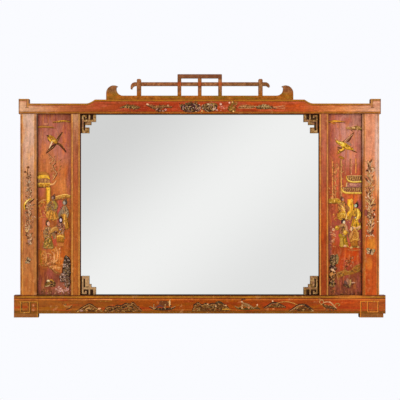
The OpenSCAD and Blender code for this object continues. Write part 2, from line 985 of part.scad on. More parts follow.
module left_panel_relief() {
    face = panel_front;
    t = panel_relief_t;
    color("goldenrod")
        translate([-panel_x1, 0, -sight_z])
        stretched([panel_w, sight_h], drawn_panel) {
            raised([88, 647], face, t / 3) leaf(60, 5);
            raised([32, 625], face, t / 3) leaf(58, 6);
            raised([60, 578], face, t) bird(66, 8);
            raised([0, 0], face, t / 2) band([[37, 520], [57, 500], [70, 470], [62, 445], [66, 425]], 4);
            raised([2, 430], face, t) roof(36, 20);
            raised([2, 400], face, t) roof(48, 18);
            raised([35, 327], face, t / 2) square([11, 72]);
            raised([64, 364], face, t / 2) square([38, 10]);
            raised([66, 296], face, t) figure(22, 64);
            raised([101, 272], face, t) figure(20, 76);
            raised([84, 224], face, t) figure(24, 72);
            raised([47, 168], face, t) figure(26, 104);
            raised([84, 199], face, t) square([24, 20], center = true);
            raised([0, 0], face, t / 2) band([[10, 150], [20, 114], [46, 112], [66, 98], [84, 83]], 5);
            raised([105, 90], face, t) bush(32, 102);
            raised([48, 46], face, t) bird(42, 150);
            raised([100, 22], face, t / 3) leaf(44, 12, 12);
        }
}

module right_panel_relief() {
    face = panel_front;
    t = panel_relief_t;
    color("goldenrod")
        translate([panel_x0, 0, -sight_z])
        stretched([panel_w, sight_h], drawn_panel) {
            raised([34, 646], face, t / 3) leaf(58, 6);
            raised([94, 622], face, t / 3) leaf(54, 6);
            raised([62, 556], face, t) bird(76, 20);
            for (x = [12, 24, 44])
                raised([x, 366], face, t / 3) square([3, 132]);
            raised([121, 417], face, t) mirror([1, 0]) roof(46, 26);
            raised([121, 377], face, t) mirror([1, 0]) roof(60, 24);
            raised([75, 296], face, t / 2) square([17, 62]);
            raised([5, 336], face, t / 2) square([46, 20]);
            raised([60, 268], face, t) figure(22, 92);
            raised([108, 258], face, t) figure(22, 94);
            raised([54, 174], face, t) figure(34, 90);
            raised([96, 172], face, t) figure(30, 84);
            raised([20, 138], face, t) bush(36, 44, 9);
            raised([22, 74], face, t) bush(30, 76, 6);
            raised([0, 0], face, t / 2) band([[46, 92], [70, 96], [92, 106], [112, 112]], 14);
            raised([86, 42], face, t) bird(30, 60);
        }
}

// Branch that climbs a stile, with a leaf to the left and right in turn
module branch(z0, z1, face) {
    count = 11;
    pitch = (z1 - z0) / count;
    t = stile_relief_t;
    for (i = [0:count - 1])
        let (side = i % 2 == 0 ? 1 : -1)
        raised([side * 9, z0 + (i + 0.5) * pitch], face, t)
            leaf(pitch * 0.95, 8, 90 - side * 40);
    raised([0, 0], face, t / 2)
        band([for (i = [0:count]) [i % 2 == 0 ? 2 : -2, z0 + i * pitch]], 3);
}

module left_stile_relief() {
    color("darkgoldenrod")
        translate([-outer_stile_mid, 0, -sight_z])
        stretched([outer_stile_w, sight_h], drawn_stile) {
            branch(186, 480, stile_front);
            raised([6, 132], stile_front, stile_relief_t) bird(32, 20);
        }
}

module right_stile_relief() {
    color("darkgoldenrod")
        translate([outer_stile_mid, 0, -sight_z])
        stretched([outer_stile_w, sight_h], drawn_stile) {
            branch(218, 500, stile_front);
            raised([-4, 164], stile_front, stile_relief_t) bird(34, -10);
        }
}

// Ornament along a rail: each entry is its middle, length, height and kind
top_rail_ornament = [
    [-254, 74, 20, "leaf"], [-145, 92, 26, "leaf"], [-24, 76, 36, "flower"],
    [44, 52, 36, "flower"], [132, 72, 30, "leaf"], [242, 100, 20, "leaf"]
];
bottom_rail_ornament = [
    [-490, 40, 26, "leaf"], [-406, 80, 36, "hill"], [-292, 130, 34, "hill"], [-108, 84, 30, "boat"],
    [38, 120, 30, "hill"], [190, 80, 30, "boat"], [308, 110, 26, "hill"], [384, 60, 30, "leaf"],
    [482, 72, 36, "leaf"]
];

module hill(w, h) {
    polygon(concat(
        [[-w / 2, -h / 2]],
        [
            for (i = [0:12])
                let (t = i / 12)
                [w * (t - 0.5), h * (-0.4 + 0.75 * abs(sin(t * 360)) * (1 - 0.3 * t))]
        ],
        [[w / 2, -h / 2]]
    ));
}

module boat(w, h) {
    polygon([
        [-w * 0.5, h * 0.1], [-w * 0.3, -h * 0.4], [w * 0.3, -h * 0.4], [w * 0.5, h * 0.2],
        [w * 0.26, -h * 0.05], [w * 0.14, h * 0.5], [0, -h * 0.05],
        [-w * 0.14, h * 0.4], [-w * 0.24, -h * 0.05]
    ]);
}

module ornament(list) {
    for (o = list)
        raised([o[0], 0], rail_front, rail_relief_t)
            if (o[3] == "leaf") leaf(o[1], o[2]);
            else if (o[3] == "flower") bush(o[1], o[2], 8);
            else if (o[3] == "hill") hill(o[1], o[2]);
            else boat(o[1], o[2]);
}

module top_rail_relief() {
    color("darkgoldenrod")
        translate([0, 0, (sight_z + raised_top) / 2])
        stretched([sight_w, top_rail_centre_h], drawn_top_rail)
            ornament(top_rail_ornament);
}

module bottom_rail_relief() {
    color("darkgoldenrod")
        translate([0, 0, (bottom_rail_z - sight_z) / 2])
        stretched([sight_w, bottom_rail_h], drawn_bottom_rail)
            ornament(bottom_rail_ornament);
}

top_rail();
bottom_rail();
foot_block(left_foot_span);  // left_foot
foot_block(right_foot_span);  // right_foot
outer_stile(-1);  // left_outer_stile
outer_stile(1);  // right_outer_stile
inner_stile(-1);  // left_inner_stile
inner_stile(1);  // right_inner_stile
panel(-1);  // left_panel
panel(1);  // right_panel
mirror_glass();
glass_blocks();
corner_fret(1, 1);  // upper_left_fret
corner_fret(-1, 1);  // upper_right_fret
corner_fret(1, -1);  // lower_left_fret
corner_fret(-1, -1);  // lower_right_fret
crest_base();
crest_rail();
end_post(-end_post_x);  // left_end_post
end_post(end_post_x);  // right_end_post
box_post(-box_post_x);  // left_box_post
box_post(0);  // centre_box_post
box_post(box_post_x);  // right_box_post
crest_cap_bar();
crest_dowels();
crest_pins();
tenon_pegs();
foot_screws();
back_board(2);  // upper_back_board
back_board(1);  // middle_back_board
back_board(0);  // lower_back_board
back_board_screws();
hanger_strap(-1);  // left_hanger_strap
hanger_strap(1);  // right_hanger_strap
hanging_ring(-1);  // left_hanging_ring
hanging_ring(1);  // right_hanging_ring
hanger_screws();
left_panel_relief();
right_panel_relief();
left_stile_relief();
right_stile_relief();
top_rail_relief();
bottom_rail_relief();
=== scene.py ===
import math
import random

import bpy
import numpy as np
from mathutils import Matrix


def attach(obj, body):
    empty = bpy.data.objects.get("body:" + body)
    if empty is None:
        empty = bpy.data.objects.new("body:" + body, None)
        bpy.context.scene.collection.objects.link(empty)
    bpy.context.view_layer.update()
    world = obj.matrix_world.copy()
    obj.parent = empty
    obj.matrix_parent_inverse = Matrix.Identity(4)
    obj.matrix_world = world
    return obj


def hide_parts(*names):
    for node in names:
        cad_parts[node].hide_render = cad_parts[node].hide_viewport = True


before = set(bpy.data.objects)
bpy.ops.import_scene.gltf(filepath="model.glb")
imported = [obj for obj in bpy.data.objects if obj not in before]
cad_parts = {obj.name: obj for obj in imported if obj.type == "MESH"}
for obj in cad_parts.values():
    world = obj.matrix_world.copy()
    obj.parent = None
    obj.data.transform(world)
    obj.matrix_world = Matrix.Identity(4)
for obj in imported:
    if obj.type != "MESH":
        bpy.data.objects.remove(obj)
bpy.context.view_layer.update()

# Camera and studio. The mirror is seen square on from a little over three metres, before plain white,
# over a pale floor. The plate shows the studio's own soft light: brightest on a slant through its
# middle, greyer at its upper left and lower right corners.


def shade(red, green, blue):
    """A colour from its screen values, 0 to 255."""
    screen = (value / 255 for value in (red, green, blue))
    return (*(v / 12.92 if v <= 0.04045 else ((v + 0.055) / 1.055) ** 2.4 for v in screen), 1.0)


class Shade:
    """One socket of a shader. Sums on it are Math nodes, and node() adds any other node beside it.

    A colour of three numbers is taken as screen values, 0 to 255.
    """

    def __init__(self, tree, socket=None):
        self.tree = tree
        self.socket = socket

    def node(self, kind, settings=None, sockets=None, give=0):
        made = self.tree.nodes.new("ShaderNode" + kind)
        for name, value in (settings or {}).items():
            if name == "stops":
                ramp = made.color_ramp.elements
                for place, *_ in value[1:-1]:
                    ramp.new(place)
                for stop, (place, *colour) in zip(ramp, value):
                    stop.position = place
                    stop.color = shade(*colour)
            else:
                setattr(made, name, value)
        for name, value in (sockets or {}).items():
            socket = made.inputs[name]
            if isinstance(value, Shade):
                self.tree.links.new(value.socket, socket)
            elif socket.type == "RGBA" and len(value) == 3:
                socket.default_value = shade(*value)
            else:
                socket.default_value = value
        return Shade(self.tree, made.outputs[give] if made.outputs else None)

    def math(self, operation, *values):
        return self.node("Math", {"operation": operation}, dict(enumerate(values)))

    def __add__(self, other):
        return self.math("ADD", self, other)

    def __radd__(self, other):
        return self.math("ADD", other, self)

    def __sub__(self, other):
        return self.math("SUBTRACT", self, other)

    def __rsub__(self, other):
        return self.math("SUBTRACT", other, self)

    def __mul__(self, other):
        return self.math("MULTIPLY", self, other)

    def __rmul__(self, other):
        return self.math("MULTIPLY", other, self)

    def __truediv__(self, other):
        return self.math("DIVIDE", self, other)

    def __neg__(self):
        return self.math("MULTIPLY", self, -1.0)

    def __abs__(self):
        return self.math("ABSOLUTE", self)

    def rise(self, low, high):
        """0 up to low, 1 from high on, and eased between them."""
        return self.node(
            "MapRange",
            {"interpolation_type": "SMOOTHSTEP"},
            {"Value": self, "From Min": low, "From Max": high},
        )

    def within(self, low, high, soft):
        """1 between low and high, with soft ends."""
        return self.rise(low - soft, low + soft) * (1.0 - self.rise(high - soft, high + soft))

    def held(self):
        """The same number, kept between 0 and 1."""
        return self.node("Clamp", None, {"Value": self})

    def over(self, under, top):
        """The colour under, with the colour top where this mask is 1."""
        return self.node("Mix", {"data_type": "RGBA"}, {0: self, 6: under, 7: top}, give=2)

    def ramp(self, *stops):
        """A run of colours, each stop as its place and its three screen values."""
        return self.node("ValToRGB", {"stops": stops}, {0: self})

    def parts(self):
        """The three numbers of a vector."""
        split = self.node("SeparateXYZ", None, {0: self}).socket.node
        return [Shade(self.tree, socket) for socket in split.outputs]

    def times(self, amount):
        """A colour or vector made longer or shorter by one number."""
        return self.node("VectorMath", {"operation": "SCALE"}, {0: self, 3: amount})

    def stretched(self, x, y, z):
        return self.node("VectorMath", {"operation": "MULTIPLY"}, {0: self, 1: (x, y, z)})

    def noise(self, scale, detail=3.0, roughness=0.55, stretch=(1, 1, 1)):
        place = self if stretch == (1, 1, 1) else self.stretched(*stretch)
        sockets = {"Vector": place, "Scale": scale, "Detail": detail, "Roughness": roughness}
        return self.node("TexNoise", None, sockets)


def bare_tree(owner):
    """The emptied shader of a material or a world."""
    owner.use_nodes = True
    owner.node_tree.nodes.clear()
    return Shade(owner.node_tree)


def add(name, data):
    """A new object in the scene."""
    made = bpy.data.objects.new(name, data)
    bpy.context.scene.collection.objects.link(made)
    return made


camera_data = bpy.data.cameras.new("camera")
camera_data.lens = 77.8
camera = add("camera", camera_data)
camera.location = (0.001, -3.236, 0.017)
camera.rotation_euler = (math.pi / 2, 0, 0)
bpy.context.scene.camera = camera
bpy.context.scene.view_settings.view_transform = "Standard"

studio = bpy.data.worlds.new("studio")
bpy.context.scene.world = studio
air = bare_tree(studio)
ray_x, _, ray_z = air.node("TexCoord", give="Generated").parts()
slant = 3.2 * (ray_x - 1.15 * ray_z)
MIDDLE_LIGHT, UPPER_LEFT_LOSS, LOWER_RIGHT_LOSS = 0.905, 0.233, 0.13
upper_left, lower_right = slant.rise(0.05, -0.66), slant.rise(0.05, 0.66)
reflected = MIDDLE_LIGHT - UPPER_LEFT_LOSS * upper_left - LOWER_RIGHT_LOSS * lower_right
seen, glossy, clear = (
    air.node("LightPath", give=f"Is {way} Ray") for way in ("Camera", "Glossy", "Transmission")
)
straight = air.math("MAXIMUM", seen, clear)
AMBIENT = 0.57
strength = air.node("Mix", {"data_type": "FLOAT"}, {0: glossy, 2: AMBIENT, 3: reflected})
strength = air.node("Mix", {"data_type": "FLOAT"}, {0: straight, 2: strength, 3: 1.0})
backdrop = straight.over((1, 1, 1, 1), (250, 251, 255))
light = air.node("Background", None, {"Color": backdrop, "Strength": strength})
air.node("OutputWorld", None, {"Surface": light})

for name, place, power in (
    ("left_lamp", (-2.5, -3.3, 1.0), 51),
    ("right_lamp", (2.5, -3.3, 0.8), 43),
    ("rear_lamp", (0.6, 3.4, 2.2), 60),
):
    lamp_data = bpy.data.lights.new(name, "AREA")
    lamp_data.shape = "DISK"
    lamp_data.size = 1.9
    lamp_data.energy = power
    lamp = add(name, lamp_data)
    lamp.location = place
    lamp.rotation_euler = (-lamp.location).to_track_quat("-Z", "Y").to_euler()

FLOOR_Z = -0.92
floor_mesh = bpy.data.meshes.new("floor")
floor_mesh.from_pydata(
    [(-3, -4, FLOOR_Z), (3, -4, FLOOR_Z), (3, 0.8, FLOOR_Z), (-3, 0.8, FLOOR_Z)], [], [(0, 1, 2, 3)]
)
floor = add("floor", floor_mesh)
floor_finish = bpy.data.materials.new("pale_floor")
paper = bare_tree(floor_finish)
matt = paper.node("BsdfDiffuse", None, {"Color": (0.9, 0.9, 0.9, 1)})
glow = paper.node("Emission", None, {"Color": (1, 1, 1, 1), "Strength": 1.0})
looked_at = paper.node("LightPath", give="Is Camera Ray")
surface = paper.node("MixShader", None, {0: 0.6 * looked_at, 1: matt, 2: glow})
paper.node("OutputMaterial", None, {"Surface": surface})
floor_mesh.materials.append(floor_finish)

# Red lacquer of the frame. The real frame is beech or pine under a coloured ground and several
# coats of varnish. It is paler towards the top, worn through to the ground in small patches and
# flecked with dirt, and its walls that face into the opening and the panel recesses are painted
# near black as shade. The back was never lacquered.
SIGHT_X, SIGHT_Z = 0.443, 0.336
PANEL_X0, PANEL_X1, STILE_X1 = 0.477, 0.602, 0.665
BARE_WOOD = [(0.0, 96, 66, 42), (0.5, 140, 102, 66), (1.0, 170, 130, 88)]


def begin(name):
    """A new material, and the place on the piece as three numbers."""
    finish = bpy.data.materials.new(name)
    return finish, bare_tree(finish).node("TexCoord", give="Object")


def facing(place):
    """1 where a face looks forward, and 1 where it looks back."""
    depth = place.node("TexCoord", give="Normal").parts()[1]
    return (-depth).rise(0.4, 0.6), depth.rise(0.4, 0.6)


def end(finish, colour, roughness, bump=None, depth=0.0004, metallic=0.0, coat=0.0, gloss=0.5):
    """Puts the finished colour, roughness and relief on the material's surface."""
    start = Shade(finish.node_tree)
    sockets = {
        "Base Color": colour,
        "Roughness": roughness,
        "Metallic": metallic,
        "Coat Weight": coat,
        "Specular IOR Level": gloss,
    }
    if bump is not None:
        sockets["Normal"] = start.node("Bump", None, {"Strength": 0.6, "Distance": depth, "Height": bump})
    surface = start.node("BsdfPrincipled", None, sockets)
    start.node("OutputMaterial", None, {"Surface": surface})


def dress(finish, *nodes):
    """Gives the finish to CAD nodes."""
    for node in nodes:
        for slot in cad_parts[node].material_slots:
            slot.material = finish


def patch(x, z, at, size):
    """A soft round patch on a front face: 1 in its middle and 0 outside."""
    away_x = (x - at[0]) / size[0]
    away_z = (z - at[1]) / size[1]
    return (away_x * away_x + away_z * away_z).rise(1.0, 0.0)


def aged(place, colour, grain):
    """Lacquer as it is now: brushed on in warmer and deeper patches, mottled, and flecked with dirt."""
    patchy = [g**0.5 for g in grain]
    warm = place.noise(17.0, 3.0, 0.6, patchy).rise(0.5, 0.66)
    deep = place.noise(29.0, 3.0, 0.6, patchy).rise(0.5, 0.68)
    mottle = place.noise(105.0, 4.0, 0.65)
    streak = place.noise(24.0, 4.0, 0.6, grain)
    colour = (0.8 * warm).over(colour, colour.stretched(1.22, 1.14, 0.8))
    colour = (0.8 * deep).over(colour, colour.stretched(0.80, 0.62, 0.55))
    colour = colour.times(0.1 + 0.9 * mottle + 0.9 * streak)
    rubbed = place.noise(42.0, 5.0, 0.7).rise(0.58, 0.7) * 0.3
    colour = rubbed.over(colour, (226, 158, 100))
    dirt = place.noise(160.0, 4.0, 0.7).rise(0.6, 0.72) * 0.5
    return dirt.over(colour, (84, 36, 16)), mottle


def blotched(place, colour, tone, amount, scale, stretch, low, high):
    """A colour brushed over another in soft blotches."""
    return (amount * place.noise(scale, 3.0, 0.6, stretch).rise(low, high)).over(colour, tone)


def cracks(place):
    """Fine craquelure: 1 on a crack."""
    sockets = {"Vector": place, "Scale": 150.0, "Randomness": 1.0}
    return place.node("TexVoronoi", {"feature": "DISTANCE_TO_EDGE"}, sockets).rise(0.035, 0.0)


def lacquer(name, paint, side_colour, grain):
    """Lacquer with its own painting on the front, plain sides, and bare wood behind."""
    finish, place = begin(name)
    x, _, z = place.parts()
    front, behind = facing(place)
    colour, mottle = aged(place, paint(place, x, z), grain)
    # Walls that face into the mirror opening and the panel recesses: painted near black as shade, and
    # rougher.
    shaded_inner_walls = abs(x).rise(0.64, 0.62) * (1.0 - front) * (1.0 - behind)
    side = place.noise(60.0, 4.0).over(side_colour, (96, 44, 26))
    side = shaded_inner_walls.over(side, (38, 16, 7))
    colour = front.over(side, colour)
    net = cracks(place) * front
    colour = (net * 0.35).over(colour, (60, 26, 16))
    wood = place.noise(14.0, 6.0, 0.62, [1.0 if g == min(grain) else 14.0 for g in grain]).ramp(*BARE_WOOD)
    colour = behind.over(colour, wood)
    roughness = 0.36 + 0.2 * mottle + 0.3 * behind + 0.6 * shaded_inner_walls
    end(finish, colour, roughness, mottle * 0.6 - net * 0.5, 0.0005, gloss=0.08)
    return finish


# Outer stiles, tenoned into both rails, with an ochre-brown band along each edge and on most edges
# a thin gold line beside it, and a dark line painted as shade along the edge beside the panel recess.
# The ground is pale salmon at the top and orange at the foot.
UP_GRAIN = (6, 6, 0.5)
BAND = (150, 88, 28)
GOLD_LINE = (222, 156, 70)
DARK_LINE = (70, 30, 12)


def bordered(place, colour, in_from_edge, bands):
    """Painted bands along an edge, each as its near side, far side, colour and strength."""
    waver = in_from_edge + 0.0016 * (place.noise(45.0, 2.0) - 0.5)
    worn = place.noise(80.0, 3.0).rise(0.3, 0.5)
    for near, far, band_colour, amount in bands:
        mask = waver.within(near, far, 0.0005) * (amount * (0.68 + 0.32 * worn))
        colour = mask.over(colour, band_colour)
    return colour


def stile_paint(side, stops, outer_bands, inner_bands, spots):
    """The painting of an outer stile: its ground from the foot up, its bands and its paler spots."""

    def paint(place, x, z):
        colour = ((z + SIGHT_Z) / (2 * SIGHT_Z)).ramp(*stops)
        across = x * side
        colour = bordered(place, colour, STILE_X1 - across, outer_bands)
        colour = bordered(place, colour, across - PANEL_X1, inner_bands)
        for at, size, tone in spots:
            colour = (0.7 * patch(x, z, at, size)).over(colour, tone)
        return colour

    return paint


# The first inner band of each stile is a dark line painted as the shade beside the panel recess.
for name, side, stops, outer_bands, inner_bands, spots in (
    (
        "left",
        -1,
        [
            (0.0, 188, 110, 46), (0.2, 186, 114, 60), (0.36, 172, 104, 62), (0.5, 186, 116, 72),
            (0.65, 190, 130, 90), (0.8, 214, 162, 132), (1.0, 208, 166, 142),
        ],
        [(0, 0.0065, BAND, 0.9), (0.0065, 0.009, GOLD_LINE, 0.8), (0.009, 0.0105, DARK_LINE, 0.35)],
        [(0, 0.0035, DARK_LINE, 0.8), (0.0035, 0.0115, (176, 112, 52), 0.8)],
        [],
    ),
    (
        "right",
        1,
        [
            (0.0, 198, 82, 24), (0.2, 180, 76, 24), (0.38, 196, 96, 46), (0.5, 190, 104, 62),
            (0.6, 208, 128, 82), (0.8, 222, 140, 102), (1.0, 222, 146, 108),
        ],
        [(0, 0.003, GOLD_LINE, 0.8), (0.003, 0.0085, (146, 84, 40), 0.9), (0.0085, 0.01, GOLD_LINE, 0.4)],
        [(0, 0.0028, DARK_LINE, 0.7), (0.0028, 0.0095, BAND, 0.9), (0.0095, 0.0115, GOLD_LINE, 0.5)],
        [
            ((0.636, -0.15), (0.022, 0.045), (226, 142, 40)),
            ((0.628, -0.22), (0.016, 0.03), (216, 122, 40)),
            ((0.657, 0.2), (0.011, 0.2), (226, 188, 170)), ((0.604, 0.25), (0.006, 0.12), (190, 140, 118)),
        ],
    ),
):
    paint = stile_paint(side, stops, outer_bands, inner_bands, spots)
    dress(lacquer(name + "_stile_lacquer", paint, (122, 54, 32), UP_GRAIN), name + "_outer_stile")

# Inner stiles, tenoned into both rails, with a rebate for the mirror along one edge and a groove for
# the panel along the other. Ochre, gold and dark lines run along both edges of the face, and the
# inner walls, which the mirror doubles, are painted near black as shade.


def inner_stile_paint(stops):
    """The painting of an inner stile: its ground and the same bands along both edges."""

    def paint(place, x, z):
        colour = ((z + SIGHT_Z) / (2 * SIGHT_Z)).ramp(*stops)
        bands = [
            (0, 0.0025, BAND, 0.8), (0.0025, 0.0062, GOLD_LINE, 0.75), (0.0062, 0.0082, DARK_LINE, 0.5),
        ]
        colour = bordered(place, colour, abs(x) - SIGHT_X, bands)
        return bordered(place, colour, PANEL_X0 - abs(x), bands)

    return paint


for side, stops in (
    (
        "left",
        [
            (0.0, 168, 92, 32), (0.5, 176, 90, 36), (0.7, 172, 88, 50), (0.82, 174, 98, 60),
            (0.97, 196, 138, 98),
        ],
    ),
    (
        "right",
        [
            (0.0, 152, 62, 18), (0.4, 172, 72, 26), (0.65, 174, 84, 54), (0.82, 182, 96, 70),
            (0.95, 182, 102, 68),
        ],
    ),
):
    paint = inner_stile_paint(stops)
    dress(lacquer(side + "_inner_stile_lacquer", paint, (62, 30, 18), UP_GRAIN), side + "_inner_stile")

# Rails, two boards mortised for the stiles, and two plain blocks screwed on below as feet. The top
# rail is red in its raised middle and fades to salmon at its ears. Both rails have an ochre band
# along each long edge with a dark line beside it, and a dark line painted as shade right at the
# mirror opening.
TOP_LOW, TOP_HIGH, TOP_EAR = 0.3745, 0.389, 0.3915
RAISED_X, SWEEP, EAR_X, EAR_LOW, EAR_END = 0.388, 0.033, 0.6335, 0.36, 0.6705
ALONG_GRAIN = (0.5, 6, 6)


def top_rail_paint(place, x, z):
    colour = (0.5 + 0.7 * x).ramp(
        (0.04, 216, 162, 122), (0.14, 182, 102, 58), (0.23, 162, 72, 26), (0.34, 158, 52, 16),
        (0.5, 176, 60, 18), (0.6, 164, 62, 20), (0.76, 186, 76, 22), (0.86, 220, 134, 74),
        (0.96, 220, 158, 124),
    )
    share = ((RAISED_X + SWEEP - abs(x)) / SWEEP).held()
    edge = TOP_LOW + (TOP_HIGH - TOP_LOW) * (1.0 - share.math("COSINE", share * (math.pi / 2)))
    ear = abs(x).rise(EAR_X, EAR_X + 0.0002)
    edge = edge + (TOP_EAR - TOP_LOW) * ear
    pink = place.noise(30.0, 4.0, 0.6, (0.5, 4, 5)).rise(0.5, 0.62) * abs(x).rise(0.46, 0.36)
    colour = (0.5 * pink).over(colour, (206, 92, 62))
    bands = [
        (0.0006, 0.0062, (164, 108, 20), 0.95), (0.0062, 0.0082, (98, 42, 14), 0.8),
        (0.0086, 0.0105, (210, 96, 60), 0.5),
    ]
    colour = bordered(place, colour, edge - z, bands)
    above = z.rise(EAR_LOW, EAR_LOW + 0.0006)
    key = [(0, 0.0065, (186, 124, 52), 0.9), (0.0065, 0.0088, (96, 50, 26), 0.8)]
    colour = above.over(colour, bordered(place, colour, abs(x) - EAR_X, key))
    foot_line = z.within(0.3578, 0.3602, 0.0004) * abs(x).within(EAR_X, 0.646, 0.0004)
    colour = (0.8 * foot_line).over(colour, (96, 50, 26))
    colour = bordered(place, colour, EAR_END - abs(x), [(0, 0.0035, (104, 60, 34), 0.85)])
    # Along the underside: first a dark line painted as shade at the mirror opening, then the bands.
    under = [
        (0, 0.002, DARK_LINE, 0.9), (0.002, 0.0075, (154, 92, 18), 0.95),
        (0.0075, 0.009, (98, 42, 14), 0.6),
    ]
    return bordered(place, colour, z - SIGHT_Z, under)


BOTTOM_Z0 = -0.4035


def bottom_rail_paint(place, x, z):
    colour = (0.5 + x * 0.7).ramp(
        (0.03, 160, 86, 26), (0.15, 144, 79, 24), (0.35, 150, 68, 4),
        (0.6, 150, 60, 0), (0.8, 148, 60, 8), (0.9, 182, 72, 16), (0.97, 164, 80, 28),
    )
    colour = blotched(place, colour, (178, 56, 14), 0.6, 24.0, (0.35, 1, 2), 0.5, 0.62)
    colour = blotched(place, colour, (156, 88, 0), 0.6, 27.0, (0.35, 1, 2), 0.54, 0.66)
    # From the top edge: first a dark line painted as shade at the mirror opening, then the bands.
    bands = [
        (0, 0.0034, (74, 44, 14), 0.85), (0.0034, 0.0095, (168, 110, 26), 0.95),
        (0.0095, 0.0125, DARK_LINE, 0.8), (0.0128, 0.018, (214, 120, 48), 0.5),
    ]
    colour = bordered(place, colour, -SIGHT_Z - z, bands)
    colour = (0.7 * patch(x, z, (0.555, -0.341), (0.08, 0.009))).over(colour, (218, 132, 48))
    under = [
        (0, 0.0085, (124, 78, 12), 0.9), (0.0085, 0.0105, (84, 44, 14), 0.6),
        (0.012, 0.016, (160, 98, 30), 0.5),
    ]
    return bordered(place, colour, z - BOTTOM_Z0, under)


def foot_paint(place, *_):
    return place.noise(9.0).ramp((0.3, 138, 81, 32), (0.7, 156, 94, 42))


dress(lacquer("top_rail_lacquer", top_rail_paint, (138, 66, 34), ALONG_GRAIN), "top_rail")
dress(lacquer("bottom_rail_lacquer", bottom_rail_paint, (124, 58, 30), ALONG_GRAIN), "bottom_rail")
dress(lacquer("foot_lacquer", foot_paint, (112, 52, 28), ALONG_GRAIN), "left_foot", "right_foot")

# Figure panels, thin boards held in grooves. Their sky is a muted rose, the terraces orange and the
# ground purple-brown, washed on by hand behind the raised figures.


def panel_paint(side, left_edge, stops, washes):
    """The ground of a panel and its washes, in millimetres from the panel's lower left corner."""

    def paint(place, x, z):
        colour = ((z + SIGHT_Z) / (2 * SIGHT_Z)).ramp(*stops)
        waver = place.noise(30.0, 3.0) - 0.5
        for at, size, wash, amount in washes:
            middle = (left_edge + at[0] / 1000, at[1] / 1000 - SIGHT_Z)
            reach = (size[0] / 1000, size[1] / 1000)
            mask = patch(x + 0.02 * waver, z - 0.02 * waver, middle, reach)
            colour = (mask * amount).over(colour, wash)
        colour = blotched(place, colour, (172, 82, 70), 0.5, 26.0, (2.2, 1, 0.5), 0.5, 0.64)
        colour = blotched(place, colour, (208, 116, 46), 0.42, 34.0, (2.4, 1, 0.45), 0.52, 0.66)
        colour = blotched(place, colour, (232, 156, 104), 0.22, 46.0, (2.6, 1, 0.4), 0.56, 0.68)
        # A thin dark line along the panel's outer edge, painted as the shade of the recess wall.
        edge = [(0, 0.0012, (60, 24, 14), 0.8)]
        return bordered(place, colour, PANEL_X1 - x * side, edge)

    return paint


for name, side, left_edge, stops, washes in (
    (
        "left",
        -1,
        -0.600,
        [
            (0.0, 126, 70, 42), (0.1, 132, 68, 36), (0.22, 178, 94, 32), (0.4, 156, 80, 30),
            (0.6, 178, 96, 46), (0.8, 178, 96, 58), (1.0, 146, 78, 56),
        ],
        [
            ((62, 560), (90, 120), (192, 128, 120), 0.35), ((82, 140), (45, 70), (178, 90, 22), 0.8),
            ((30, 140), (30, 50), (190, 104, 34), 0.7), ((20, 640), (60, 40), (176, 98, 80), 0.5),
            ((30, 500), (40, 70), (206, 120, 52), 0.6), ((90, 430), (50, 90), (206, 116, 52), 0.6),
            ((105, 580), (30, 80), (182, 84, 62), 0.6), ((20, 290), (30, 70), (178, 76, 40), 0.6),
            ((80, 310), (20, 50), (172, 72, 52), 0.8), ((60, 60), (90, 50), (130, 60, 44), 0.6),
            ((90, 20), (50, 30), (176, 102, 76), 0.5), ((76, 330), (13, 50), (186, 72, 62), 0.8),
            ((12, 385), (20, 30), (188, 96, 76), 0.6), ((16, 250), (20, 60), (214, 118, 56), 0.6),
            ((62, 205), (14, 30), (196, 74, 52), 0.8), ((92, 400), (20, 40), (226, 138, 68), 0.6),
            ((108, 210), (16, 50), (196, 90, 36), 0.7), ((70, 120), (30, 50), (206, 116, 40), 0.6),
            ((118, 420), (12, 120), (164, 90, 84), 0.6),
        ],
    ),
    (
        "right",
        1,
        PANEL_X0,
        [
            (0.0, 124, 62, 38), (0.1, 134, 66, 36), (0.2, 160, 64, 20), (0.4, 160, 70, 28),
            (0.6, 184, 84, 48), (0.8, 184, 90, 68), (1.0, 178, 96, 78),
        ],
        [
            ((82, 590), (75, 140), (218, 158, 140), 0.55), ((8, 620), (24, 90), (172, 90, 62), 0.4),
            ((100, 150), (50, 45), (188, 64, 4), 0.9), ((55, 125), (35, 50), (184, 66, 18), 0.85),
            ((105, 645), (45, 40), (182, 118, 98), 0.8), ((74, 645), (22, 20), (184, 86, 70), 0.7),
            ((105, 560), (40, 90), (194, 116, 92), 0.8), ((30, 480), (30, 90), (196, 98, 44), 0.7),
            ((30, 410), (20, 40), (222, 94, 44), 0.7), ((95, 355), (30, 30), (224, 104, 26), 0.85),
            ((20, 285), (30, 50), (156, 62, 26), 0.8), ((110, 40), (40, 60), (130, 56, 34), 0.5),
            ((82, 292), (30, 50), (162, 80, 76), 0.8), ((116, 330), (14, 35), (176, 82, 88), 0.7),
            ((74, 216), (16, 45), (196, 86, 72), 0.8), ((116, 220), (14, 50), (158, 70, 66), 0.7),
            ((20, 300), (30, 50), (166, 74, 56), 0.6), ((5, 200), (12, 90), (140, 76, 84), 0.7),
            ((40, 214), (20, 40), (206, 84, 56), 0.6), ((44, 440), (22, 90), (190, 96, 64), 0.5),
        ],
    ),
):
    paint = panel_paint(side, left_edge, stops, washes)
    dress(lacquer(name + "_panel_lacquer", paint, (60, 28, 16), UP_GRAIN), name + "_panel")

